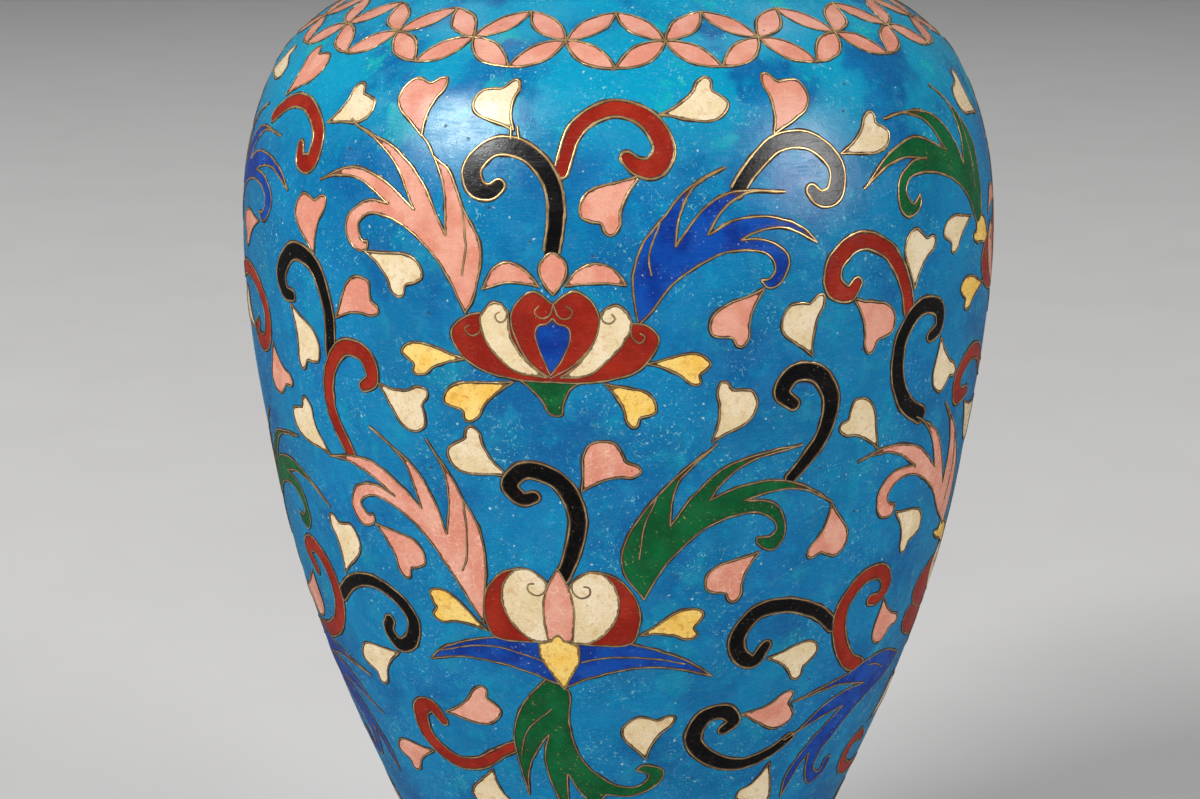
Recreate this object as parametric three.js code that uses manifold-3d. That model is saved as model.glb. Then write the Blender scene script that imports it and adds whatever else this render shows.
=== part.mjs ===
// A cloisonné vase: a copper body of revolution, coated with enamel inside and out, with brass rims,
// ring wires between the enamel zones, and lotus flowers and plumes inlaid in the turquoise ground.
// Millimetres, +Z up, origin at the middle of the foot's underside. Azimuths are in degrees, counted
// from -Y towards +X.

import * as THREE from "three";
import { mergeVertices } from "three/addons/utils/BufferGeometryUtils.js";
import Module from "manifold-3d";

const wasm = await Module();
wasm.setup();

// Driving dimensions
const HEIGHT = 262;
const BELLY_RADIUS = 70;
const BELLY_HEIGHT = 165;
const WAIST_RADIUS = 30.1;
const WAIST_HEIGHT = 21;
const NECK_RADIUS = 33.4;
const NECK_HEIGHT = 239;
const MOUTH_RADIUS = 43;
const FOOT_RADIUS = 40;
const SEGMENTS = 24;

const ENAMEL = 1.0; // outside coats
const COPPER = 1.2; // raised sheet
const LINING = 0.6; // inside coat
const COAT_GAP = 0.1; // between a coat and the copper under it
const INLAY_GAP = 0.3; // between an inlay and the ground round it, where its wire lies
const WIRE_WIDTH = 0.6; // ring wires
const ZONE_GAP = 0.6; // from a ring wire's middle to the enamel beside it
const RIM_HEIGHT = 4;
const FOOT_RIM_HEIGHT = 3;
const PLATE_HEIGHT = 22.6; // underside of the base plate
const PLATE_GAP = 0.3; // round the base plate, where it is soldered in
const CORNER = 1.6; // of the lining, between its floor and its wall
const BASE_RADIUS = 27.2; // enamel under the base plate

const MIDLINE = 134; // height that the ornament's heights are counted from
const REPEAT = 180; // the ornament repeats once round the back

// The finished outside, as radius and height from the foot rim to the lip
const WAIST = 3;
const SEAM = 8;
const SHOULDER = 12;
const NECK = 16;
const THROAT = 18;
const stations = [
  [39.2, 3.2], [35.6, 7.5], [32.4, 13],
  [WAIST_RADIUS, WAIST_HEIGHT], [31.4, 27.5], [35.4, 37], [41.7, 50], [54.7, 82],
  [63.8, 114], [68.8, 146], [BELLY_RADIUS, BELLY_HEIGHT], [69.6, 178], [67.2, 189], [62.6, 200],
  [56, 206.8], [45.4, 213.2], [40.4, 218.3], [36.2, 226], [NECK_RADIUS, NECK_HEIGHT],
  [35.6, 250.6], [38.7, 256.6], [39.2, 257.4],
].map(([r, z]) => new THREE.Vector2(r, z));
const LIP = stations.length - 1;

const tangents = stations.map((_, i) =>
  stations[Math.min(i + 1, LIP)].clone().sub(stations[Math.max(i - 1, 0)]).normalize(),
);

// The point at a depth under the finished surface. Layers end level at the rims.
function under(i, depth) {
  const t = tangents[i];
  const level = i === 0 || i === LIP;
  const inward = level ? new THREE.Vector2(-1 / t.y, 0) : new THREE.Vector2(-t.y, t.x);
  return stations[i].clone().addScaledVector(inward, depth);
}

function radiusAt(z) {
  const i = Math.max(1, stations.findIndex((s) => s.y >= z));
  const share = (z - stations[i - 1].y) / (stations[i].y - stations[i - 1].y);
  return THREE.MathUtils.lerp(stations[i - 1].x, stations[i].x, share);
}

// Geometry helpers
function turned(profile) {
  return new THREE.LatheGeometry(profile, SEGMENTS).rotateX(Math.PI / 2);
}

function ring(corners) {
  return turned([...corners, corners[0].clone()]);
}

function movedTowards(point, target, distance) {
  return point.clone().add(target.clone().sub(point).setLength(distance));
}

// A coat or sheet between two depths, from one station to another, with its ends cut back
function shell(first, last, outer, inner, cutFirst = 0, cutLast = 0) {
  const face = (depth) => {
    const line = Array.from({ length: last - first + 1 }, (_, k) => under(first + k, depth));
    const start = movedTowards(line[0], line[1], cutFirst);
    const end = movedTowards(line.at(-1), line.at(-2), cutLast);
    return [start, ...line.slice(1, -1), end];
  };
  return ring([...face(outer), ...face(inner).reverse()]);
}

function ringWire(i) {
  const corner = (depth, along) => under(i, depth).addScaledVector(tangents[i], along * WIRE_WIDTH / 2);
  return ring([corner(0, -1), corner(0, 1), corner(ENAMEL, 1), corner(ENAMEL, -1)]);
}

function toSolid(geometry) {
  const bare = geometry.clone();
  bare.deleteAttribute("normal");
  bare.deleteAttribute("uv");
  const merged = mergeVertices(bare);
  return new wasm.Manifold(
    new wasm.Mesh({
      numProp: 3,
      vertProperties: new Float32Array(merged.attributes.position.array),
      triVerts: new Uint32Array(merged.index.array),
    }),
  );
}

function toGeometry(solid) {
  const mesh = solid.getMesh();
  const geometry = new THREE.BufferGeometry();
  geometry.setAttribute("position", new THREE.BufferAttribute(mesh.vertProperties, 3));
  geometry.setIndex(new THREE.BufferAttribute(mesh.triVerts, 1));
  geometry.computeVertexNormals();
  return geometry;
}

// A straight-sided block that reaches through the enamel, over an outline of azimuths and heights
const REACH_IN = 6;
const REACH_OUT = 12;
function block(outline) {
  const flat = outline.map(([a, z]) => new THREE.Vector2(THREE.MathUtils.degToRad(a), z));
  const ordered = THREE.ShapeUtils.isClockWise(flat) ? flat.reverse() : flat;
  const azimuths = ordered.map((p) => p.x);
  const middle = (Math.min(...azimuths) + Math.max(...azimuths)) / 2;
  const corner = (p, reach) => {
    const z = p.y + MIDLINE;
    const r = radiusAt(z);
    return [r * Math.sin(p.x) + reach * Math.sin(middle), -r * Math.cos(p.x) - reach * Math.cos(middle), z];
  };
  const n = ordered.length;
  const points = [...ordered.map((p) => corner(p, REACH_OUT)), ...ordered.map((p) => corner(p, -REACH_IN))];
  const faces = THREE.ShapeUtils.triangulateShape(ordered, []).flatMap(([a, b, c]) => [
    [a, b, c],
    [n + a, n + c, n + b],
  ]);
  for (let i = 0; i < n; i++) {
    const j = (i + 1) % n;
    faces.push([i, n + i, n + j], [i, n + j, j]);
  }
  return new wasm.Manifold(
    new wasm.Mesh({
      numProp: 3,
      vertProperties: new Float32Array(points.flat()),
      triVerts: new Uint32Array(faces.flat()),
    }),
  );
}

// The same outline drawn in by the gap, with short mitres at its points
const LONGEST_MITRE = 4;
function drawnIn(outline) {
  const heights = outline.map(([, z]) => z);
  const middle = MIDLINE + (Math.min(...heights) + Math.max(...heights)) / 2;
  const perDegree = THREE.MathUtils.degToRad(radiusAt(middle));
  const flat = outline.map(([a, z]) => new THREE.Vector2(a * perDegree, z));
  const side = THREE.ShapeUtils.isClockWise(flat) ? 1 : -1;
  const inward = (p, q) => new THREE.Vector2(q.y - p.y, p.x - q.x).normalize().multiplyScalar(side);
  return flat.map((p, i) => {
    const before = inward(flat.at(i - 1), p);
    const after = inward(p, flat[(i + 1) % flat.length]);
    const bisector = before.clone().add(after).normalize();
    const mitre = Math.min(LONGEST_MITRE, 1 / Math.max(bisector.dot(before), 1e-6));
    const moved = p.clone().addScaledVector(bisector, INLAY_GAP * mitre);
    return [moved.x / perDegree, moved.y];
  });
}

const moved = (outline, turn, lift = 0, centre = 0, stretch = 1) =>
  outline.map(([a, z]) => [centre + (a - centre) * stretch + turn, z + lift]);

// Ornament outlines, as azimuth and height from the midline. Front flowers stand at -9 degrees.
const FRONT = -9;
const SIDE = 81;

const upperLotus = [
  [-8.6, 42.4], [-10.5, 40], [-12, 40], [-14.7, 40.8], [-18.3, 36.2], [-14, 36], [-15, 33.8], [-17, 34],
  [-18.6, 31.2], [-20.6, 31.3], [-23, 28], [-20.8, 24.4], [-14, 21.6], [-11.8, 19.8], [-9.4, 15.8],
  [-7.5, 15.8], [-5.8, 20.8], [-2, 21.8], [3.9, 24.6], [5.5, 28], [3.6, 30.8], [1.8, 31.2], [-0.2, 34.2],
  [-2.6, 34], [-3, 36.2], [1.1, 37], [-2.9, 41], [-6.6, 40],
];
const lowerLotus = [
  [-8.8, -12.2], [-11, -14.6], [-13.6, -12.6], [-17.8, -14.2], [-20.8, -20], [-20, -25.4], [-25, -28.2],
  [-32.3, -33.2], [-24, -31.4], [-13.6, -33], [-8.4, -35.6], [-4.6, -33.3], [5, -31], [15.4, -33.4],
  [9, -29], [2.4, -25.6], [4, -20.5], [0.5, -14], [-4.1, -12.6], [-7, -14.8],
];
const wideHalf = [
  [5, -22], [10, -22.5], [15, -24.5], [19, -28], [17.5, -31], [19.5, -34], [16, -38], [7, -40.5], [3, -46],
];
const wideLotus = [
  [SIDE, -20],
  ...wideHalf.map(([a, z]) => [SIDE + a, z]),
  ...wideHalf.toReversed().map(([a, z]) => [SIDE - a, z]),
];

const frontUpperLeft = [
  [-20.6, 32], [-24, 39], [-29.5, 44.5], [-35, 46.5], [-37.5, 41], [-40.4, 43.5], [-38.6, 47.6],
  [-33.3, 48.4], [-45, 51.3], [-38, 53.4], [-28.8, 48.2], [-37.8, 58.6], [-28.6, 53.3], [-23.7, 44.6], [-27, 57.4],
  [-21.5, 49.6], [-18.4, 41], [-19.5, 34],
];
const frontUpperRight = [
  [3, 31.4], [2, 38], [3.2, 45.4], [14, 55.4], [9.4, 49], [7.7, 43.8], [14.4, 51.2], [22.5, 51.4],
  [12.2, 45.4], [18.6, 47.8], [27, 43.4], [17, 44.2], [22.6, 41.8], [23, 38], [19.8, 36.6], [20.4, 41.4], [14.5, 42.2],
  [8, 38.3],
];
const sideUpperLeft = [
  [66, 40.2], [62.4, 43.6], [58, 48.4], [50.5, 51.5], [45.4, 50.4], [46.6, 46], [43.4, 46], [43.4, 50.8],
  [50.3, 53.8], [37, 51.2], [45.5, 57], [51, 57], [56, 54.3], [53, 59], [45.5, 61.4], [54, 60.8],
  [61.2, 51.4], [62.4, 57.5], [58.4, 64], [65.6, 56.8], [67.6, 50], [67, 42],
];
const frontLowerLeft = [
  [-21.2, -23.8], [-25.4, -15.5], [-31.3, -6.8], [-39.5, -3.5], [-41, -7], [-43.6, -8], [-42, -1.7],
  [-34.6, -2.3], [-46, 2], [-38, 3.2], [-30, -3.4], [-37, 9], [-29, 1.4], [-26, -7.4], [-27.4, 8.4],
  [-21.6, -3], [-19.9, -11], [-20.4, -18],
];
const frontLowerRight = [
  [4.1, -17.6], [0.9, -11], [3.2, -0.6], [13.4, 10], [8.8, 2.8], [7.7, -3.8], [15.1, 5.8], [26, 8.4],
  [13.2, 0.4], [21, 2.9], [32.6, -2.4], [18.6, -0.3], [24.8, -3.8], [23.8, -9.6], [21.2, -8.2], [23, -5], [16, -3],
  [9, -8.6],
];
const sideLowerLeft = [
  [69.7, -17.6], [63.8, -13.1], [58, -6.6], [50.6, -2.2], [45.8, -3.4], [46.6, -7.4], [43.4, -7.4],
  [43.6, -1.8], [51, -0.5], [38.6, 4.2], [47, 4.8], [57.8, -2.7], [50.4, 8.4], [59, 1], [63.4, -7.2],
  [58.4, 8.8], [66, 0.6], [70.4, -6.4], [71.2, -12],
];
const frontTail = [
  [-11.6, -34], [-16, -39.5], [-18.6, -48], [-17.8, -59], [-15.6, -50.5], [-12.2, -46], [-13, -54],
  [-9.8, -63], [-9.2, -54.6], [-3, -61.6], [-1.8, -58.6], [5.6, -57.9], [8.8, -54.5], [6.2, -52],
  [5.4, -55.6], [0, -56.3], [-6.1, -51], [-8.2, -43], [-8.3, -35.8],
];
const sideTail = [
  [64.7, -42], [57, -38.7], [50, -38.5], [34, -42], [45, -42], [51.6, -43.9], [43, -44.4], [35.5, -49.4],
  [46.6, -47.2], [40, -52.8], [36.6, -63.6], [41, -56.4], [42.9, -62.1], [47, -63.5], [49.8, -60],
  [44.8, -59.4], [46, -54.3], [52.9, -48.1], [61, -45],
];

const SIDE_STRETCH = 1.2; // the side flowers' right plumes reach further round
const SIDE_LIFT = 4.5;
const LOWER_SIDE_TURN = 96.5;
const LOWER_SIDE_DROP = -5.5;

const red = { color: 0xa01c10, roughness: 0.3, metalness: 0 };
const pink = { color: 0xe08a7c, roughness: 0.3, metalness: 0 };
const cobalt = { color: 0x10309c, roughness: 0.3, metalness: 0 };
const green = { color: 0x0c7a48, roughness: 0.3, metalness: 0 };

// Each row holds the piece at the front flower and the one at the side flower. Earlier rows lie in front
// of later ones where they meet.
const sideUpperLotus = moved(upperLotus, SIDE - FRONT, SIDE_LIFT);
const sideUpperRight = moved(frontUpperRight, SIDE - FRONT, SIDE_LIFT, FRONT, SIDE_STRETCH);
const sideLowerRight = moved(frontLowerRight, LOWER_SIDE_TURN, LOWER_SIDE_DROP);
const ornament = [
  ["upper_lotus", [upperLotus, red], [sideUpperLotus, red]],
  ["lower_lotus", [lowerLotus, red], [wideLotus, red]],
  ["upper_left_plume", [frontUpperLeft, pink], [sideUpperLeft, green]],
  ["upper_right_plume", [frontUpperRight, cobalt], [sideUpperRight, cobalt]],
  ["lower_left_plume", [frontLowerLeft, pink], [sideLowerLeft, pink]],
  ["lower_right_plume", [frontLowerRight, green], [sideLowerRight, green]],
  ["tail_plume", [frontTail, green], [sideTail, cobalt]],
];

// Assembly
const vase = new THREE.Group();

function add(name, geometry, look) {
  const mesh = new THREE.Mesh(geometry, new THREE.MeshStandardMaterial(look));
  mesh.name = name;
  vase.add(mesh);
}

const copper = { color: 0xb4673a, roughness: 0.45, metalness: 1 };
const brass = { color: 0xb08a45, roughness: 0.35, metalness: 1 };
const turquoise = { color: 0x0a86b4, roughness: 0.25, metalness: 0 };

const sheetTop = ENAMEL + COAT_GAP;
const sheetBottom = sheetTop + COPPER;
const liningTop = sheetBottom + COAT_GAP;
const liningBottom = liningTop + LINING;

function metalwork() {
  add("copper_foot", shell(0, WAIST, sheetTop, sheetBottom), copper);
  add("copper_lower_body", shell(WAIST, SEAM, sheetTop, sheetBottom), copper);
  add("copper_upper_body", shell(SEAM, SHOULDER, sheetTop, sheetBottom), copper);
  add("copper_shoulder", shell(SHOULDER, NECK, sheetTop, sheetBottom), copper);
  add("copper_neck", shell(NECK, THROAT, sheetTop, sheetBottom), copper);
  add("copper_lip", shell(THROAT, LIP, sheetTop, sheetBottom), copper);

  const plateRadius = radiusAt(PLATE_HEIGHT) - sheetBottom - PLATE_GAP;
  const plate = [
    [0, PLATE_HEIGHT], [plateRadius, PLATE_HEIGHT], [plateRadius, PLATE_HEIGHT + COPPER],
    [0, PLATE_HEIGHT + COPPER],
  ];
  add("base_plate", turned(plate.map(([r, z]) => new THREE.Vector2(r, z))), copper);
}

function rims() {
  const low = HEIGHT - RIM_HEIGHT;
  const mouth = [
    [MOUTH_RADIUS - 3.2, low], [MOUTH_RADIUS - 1, low], [MOUTH_RADIUS, low + 1.2],
    [MOUTH_RADIUS, HEIGHT - 1], [MOUTH_RADIUS - 1, HEIGHT], [MOUTH_RADIUS - 4, HEIGHT], [MOUTH_RADIUS - 5.4, HEIGHT - 1],
    [MOUTH_RADIUS - 6.2, low],
  ];
  add("mouth_rim", ring(mouth.map(([r, z]) => new THREE.Vector2(r, z))), brass);

  const foot = [
    [FOOT_RADIUS - 3.4, 0], [FOOT_RADIUS - 0.6, 0], [FOOT_RADIUS, 0.8], [FOOT_RADIUS, 2.2],
    [FOOT_RADIUS - 0.8, FOOT_RIM_HEIGHT], [FOOT_RADIUS - 3.8, FOOT_RIM_HEIGHT - 0.4],
  ];
  add("foot_rim", ring(foot.map(([r, z]) => new THREE.Vector2(r, z))), brass);
}

function ringWires() {
  add("waist_wire", ringWire(WAIST), brass);
  add("neck_wire", ringWire(NECK), brass);
  add("lip_wire", shell(LIP - 1, LIP, 0, ENAMEL), brass);
}

function plainCoats() {
  add("neck_ground_enamel", shell(NECK, LIP - 1, 0, ENAMEL, ZONE_GAP, ZONE_GAP / 2), turquoise);
  add("foot_ground_enamel", shell(0, WAIST, 0, ENAMEL, 0, ZONE_GAP), turquoise);

  const wall = Array.from({ length: LIP - WAIST }, (_, k) => WAIST + 1 + k);
  const floor = PLATE_HEIGHT + COPPER + COAT_GAP;
  const lining = [
    new THREE.Vector2(0, floor),
    new THREE.Vector2(under(WAIST + 1, liningTop).x - CORNER, floor),
    ...wall.map((i) => under(i, liningTop)),
    ...wall.map((i) => under(i, liningBottom)).reverse(),
    new THREE.Vector2(under(WAIST + 1, liningBottom).x - CORNER, floor + LINING),
    new THREE.Vector2(0, floor + LINING),
  ];
  add("lining_enamel", turned(lining), { color: 0x5fb4c4, roughness: 0.4, metalness: 0 });

  const top = PLATE_HEIGHT - COAT_GAP;
  const disc = [[0, top - LINING], [BASE_RADIUS, top - LINING], [BASE_RADIUS, top], [0, top]];
  add("base_enamel", turned(disc.map(([r, z]) => new THREE.Vector2(r, z))), turquoise);
}

function ornamentedCoat() {
  const coat = toSolid(shell(WAIST, NECK, 0, ENAMEL, ZONE_GAP, ZONE_GAP));
  let ground = coat;
  const cut = [];
  for (const [name, front, side] of ornament) {
    const behind = ([outline, look]) => [moved(outline, REPEAT), look];
    [front, side, behind(front), behind(side)].forEach(([outline, look], k) => {
      let inlay = coat.intersect(block(drawnIn(outline)));
      for (const earlier of cut) inlay = inlay.subtract(earlier);
      const hole = block(outline);
      ground = ground.subtract(hole);
      cut.push(hole);
      add(`${name}_${k + 1}`, toGeometry(inlay), look);
    });
  }
  add("belly_ground_enamel", toGeometry(ground), turquoise);
}

metalwork();
rims();
ringWires();
plainCoats();
ornamentedCoat();

export default vase;
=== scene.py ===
import math

import bpy
import numpy as np
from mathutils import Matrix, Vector
from mathutils.geometry import delaunay_2d_cdt


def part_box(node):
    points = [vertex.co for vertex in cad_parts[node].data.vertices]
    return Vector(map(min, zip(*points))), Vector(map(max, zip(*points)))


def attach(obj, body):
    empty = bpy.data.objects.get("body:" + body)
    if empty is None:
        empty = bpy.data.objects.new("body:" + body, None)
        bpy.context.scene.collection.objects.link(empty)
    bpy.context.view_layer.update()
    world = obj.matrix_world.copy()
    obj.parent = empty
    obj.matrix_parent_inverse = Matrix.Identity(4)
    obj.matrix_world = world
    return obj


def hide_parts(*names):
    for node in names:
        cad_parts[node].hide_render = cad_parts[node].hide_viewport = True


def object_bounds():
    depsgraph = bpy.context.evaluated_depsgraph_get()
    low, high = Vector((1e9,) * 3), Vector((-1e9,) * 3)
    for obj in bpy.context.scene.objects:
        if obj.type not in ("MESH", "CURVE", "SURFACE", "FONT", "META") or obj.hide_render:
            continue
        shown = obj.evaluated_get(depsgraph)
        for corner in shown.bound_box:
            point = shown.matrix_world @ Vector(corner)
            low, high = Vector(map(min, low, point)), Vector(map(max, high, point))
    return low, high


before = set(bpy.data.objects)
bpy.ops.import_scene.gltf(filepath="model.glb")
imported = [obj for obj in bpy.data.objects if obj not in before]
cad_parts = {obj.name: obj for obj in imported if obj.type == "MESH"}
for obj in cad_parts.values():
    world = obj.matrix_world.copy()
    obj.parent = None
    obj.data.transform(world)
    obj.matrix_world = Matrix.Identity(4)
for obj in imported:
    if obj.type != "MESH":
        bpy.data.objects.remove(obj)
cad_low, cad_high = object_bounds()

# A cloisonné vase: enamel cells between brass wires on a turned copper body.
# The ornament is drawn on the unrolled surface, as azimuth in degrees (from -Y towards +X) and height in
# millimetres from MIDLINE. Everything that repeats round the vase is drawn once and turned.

# Driving sizes, in millimetres unless a name says otherwise
MM = 0.001
MIDLINE = 134.0
REPEAT = 180.0  # degrees, after which the ornament repeats
PROUD = 0.23  # how far the wires may stand out, so the surface lies this far inside the CAD box
STEP = 0.5  # spacing of points along an edge or wire
GRID = 1.7  # spacing of points inside an enamel cell
FINE_GRID = 0.9  # the same in cells that reach above TIGHT, where the shoulder turns in
TIGHT = 55.0
STAIN = 0.55  # width of the band inside a cell's edge that tarnish can stain
ENAMEL = 1.0
COPPER = 1.2
LINING = 0.6
COAT_GAP = 0.1
INLAY_LIFT = 0.03  # of a cell's face over the ground
LAYER_SHARE = 0.4  # of that lift, by which each layer stands over the one below
WIRE_WIDTH = 0.6
SCROLL_WIRE_WIDTH = 0.7
SPARE = 0.15  # half of what the wire along a scroll hides of its width
WIRE_CREST = 0.15
RING_WIRE_WIDTH = 0.7
RING_WIRE_LIFT = 0.03
SLAB_DEPTH = 0.5  # how far a cell's enamel reaches into the ground
REST_GAP = 0.25  # between the foot rim and the coats and sheets that stand over it
OUTER_SIDES = 288  # faces round a turned piece that shows
INNER_SIDES = 144  # faces round one inside the vase
SOFT_CREASE = 40  # degrees between faces that still shade as one surface
WIRE_CREASE = 60

FOOT_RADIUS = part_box("foot_rim")[1].x / MM
FOOT_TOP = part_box("foot_rim")[1].z / MM
MOUTH_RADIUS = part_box("mouth_rim")[1].x / MM
MOUTH_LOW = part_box("mouth_rim")[0].z / MM
HEIGHT = cad_high.z / MM


def middle_level(node):
    """Height of a CAD node's middle over the table."""
    low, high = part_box(node)
    return (low.z + high.z) / 2 / MM


WAIST_LEVEL = middle_level("waist_wire")
NECK_LEVEL = middle_level("neck_wire")
LIP_LEVEL = middle_level("lip_wire")

# The finished outside, as radius and height above the table
PROFILE = [
    (39.2, 3.0), (35.6, 7.5), (32.4, 13), (30.1, 21), (31.4, 27.5), (35.4, 37), (41.7, 50), (48.5, 66),
    (54.7, 82), (59.8, 98), (63.8, 114), (66.5, 130), (68.8, 146), (69.9, 160), (70, 170), (68.9, 182),
    (65.9, 193), (61.4, 201.8), (54.9, 207.8), (46, 213.2), (40.4, 218.3), (36.2, 226), (33.7, 235),
    (33.7, 243), (35.6, 250.6), (38.4, 256.2), (39.3, 258),
]


# ---------------------------------------------------------------- smooth lines

def spline(points, per_span=14):
    """A centripetal Catmull-Rom line through the points."""
    p = np.asarray(points, float)
    p = np.vstack([2 * p[0] - p[1], p, 2 * p[-1] - p[-2]])
    pieces = []
    for a, b, c, d in zip(p, p[1:], p[2:], p[3:]):
        t1 = max(np.linalg.norm(b - a), 1e-6) ** 0.5
        t2 = t1 + max(np.linalg.norm(c - b), 1e-6) ** 0.5
        t3 = t2 + max(np.linalg.norm(d - c), 1e-6) ** 0.5
        t = np.linspace(t1, t2, per_span, endpoint=False)[:, None]
        ab = a + (b - a) * t / t1
        bc = b + (c - b) * (t - t1) / (t2 - t1)
        cd = c + (d - c) * (t - t2) / (t3 - t2)
        abc = ab + (bc - ab) * t / t2
        bcd = bc + (cd - bc) * (t - t1) / (t3 - t1)
        pieces.append(abc + (bcd - abc) * (t - t1) / (t2 - t1))
    return np.vstack([*pieces, p[-2]])


surface = spline(PROFILE, per_span=24)
surface_level = surface[:, 1]
surface_radius = surface[:, 0] - PROUD
surface_lean = np.gradient(surface_radius, surface_level)


def radius(height):
    return np.interp(MIDLINE + height, surface_level, surface_radius)


def lean(height):
    return np.interp(MIDLINE + height, surface_level, surface_lean)


def degree(height):
    """Millimetres of surface in one degree of azimuth."""
    return np.radians(radius(height))


def rise(height):
    """Millimetres of surface in one millimetre of height."""
    return np.hypot(1, lean(height))


def place(path, lift=0.0):
    """Azimuths and heights as points in space, in metres, lifted off the surface."""
    azimuth, height = np.radians(path[:, 0]), path[:, 1]
    slope = lean(height)
    outward = 1 / np.hypot(1, slope)
    r = radius(height) + lift * outward
    z = MIDLINE + height - lift * slope * outward
    return np.stack([r * np.sin(azimuth), -r * np.cos(azimuth), z], -1) * MM


def normals(path):
    azimuth, slope = np.radians(path[:, 0]), lean(path[:, 1])
    outward = 1 / np.hypot(1, slope)
    return np.stack([outward * np.sin(azimuth), -outward * np.cos(azimuth), -slope * outward], -1)


def resample(path):
    """The same line with its points STEP apart."""
    between = (path[1:, 1] + path[:-1, 1]) / 2
    runs = np.hypot(np.diff(path[:, 0]) * degree(between), np.diff(path[:, 1]) * rise(between))
    distance = np.concatenate([[0], np.cumsum(runs)])
    marks = np.linspace(0, distance[-1], max(3, int(round(distance[-1] / STEP)) + 1))
    return np.stack([np.interp(marks, distance, path[:, k]) for k in (0, 1)], -1)


def curve(points):
    """A smooth line through points on the unrolled surface."""
    points = np.asarray(points, float)
    scale = np.array([degree(points[:, 1].mean()), 1.0])
    return resample(spline(points * scale) / scale)


# ---------------------------------------------------------------- the ornament's parts

cells = []  # (piece, layer, closed edge)
wires = []  # (piece, layer, path)


def wire(piece, layer, points):
    wires.append((piece, layer, curve(points)))


def cell(piece, wire_piece, layer, *strokes):
    """An enamel cell inside smooth strokes that meet at corners, each running on to the next one's start."""
    starts = [stroke[0] for stroke in strokes]
    paths = [curve([*stroke, start]) for stroke, start in zip(strokes, starts[1:] + starts[:1])]
    cells.append((piece, layer, np.vstack([path[:-1] for path in paths])))
    wires.extend((wire_piece, layer, path) for path in paths)


LEAF = [
    (0, 0), (0.26, 0.09), (0.6, 0.06), (0.88, -0.05), (1.01, 0.01), (0.91, 0.16), (0.65, 0.355),
    (0.51, 0.58), (0.3, 0.86), (0.02, 1.01), (-0.15, 1), (-0.2, 0.84), (-0.13, 0.54), (-0.05, 0.26),
]


def leaf(piece, tip, small_lobe, big_lobe):
    """A heart-shaped leaf from its stem's tip, with one slim lobe and one full lobe."""
    tip, small_lobe, big_lobe = (np.array(p, float) for p in (tip, small_lobe, big_lobe))
    points = [tip + u * (small_lobe - tip) + v * (big_lobe - tip) for u, v in LEAF]
    cell(piece, "leaf_wires", 1, points)


def scroll(piece, points, widths, layer=2):
    """A C-scroll: a band round a middle line, with its width at the start, middle, curl and end."""
    middle = curve(points)
    scale = np.stack([degree(middle[:, 1]), rise(middle[:, 1])], -1)
    along = np.gradient(middle, axis=0) * scale
    along /= np.linalg.norm(along, axis=1)[:, None]
    left = np.stack([-along[:, 1], along[:, 0]], -1)
    half = np.interp(np.linspace(0, 1, len(middle)), (0, 0.45, 0.85, 1), widths)[:, None] / 2 + SPARE

    def cap(end, sign):
        angles = np.radians(np.linspace(0, 180, 8)[1:-1])[:, None]
        spoke = sign * np.cos(angles) * left[end] + sign * np.sin(angles) * along[end]
        return middle[end] + half[end] * spoke / scale[end]

    edge = np.vstack([
        middle + half * left / scale, cap(-1, 1), (middle - half * left / scale)[::-1], cap(0, -1),
    ])
    edge = resample(np.vstack([edge, edge[0]]))
    cells.append((piece, layer, edge[:-1]))
    wires.append(("scroll_wires", layer, edge))


def turned(points, turn, lift, stretch=1.0, centre=0.0):
    """Points moved round the vase and up, and stretched round it about a centre."""
    return [(centre + (a - centre) * stretch + turn, h + lift) for a, h in points]


def plume(piece, strokes, middle):
    """A plume of pointed fingers, with one wire on its face."""
    cell(piece, "plume_wires", 3, *strokes)
    wire("plume_wires", 3, middle)


# ---------------------------------------------------------------- flowers

FRONT = -9.0
SIDE = 81.0


def petal(colour, layer, *strokes):
    cell(f"lotus_{colour}_enamel", "flower_wires", layer, *strokes)


def vein(*points):
    """A wire on the face of a flower's petal."""
    wire("flower_wires", 8, points)


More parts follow.
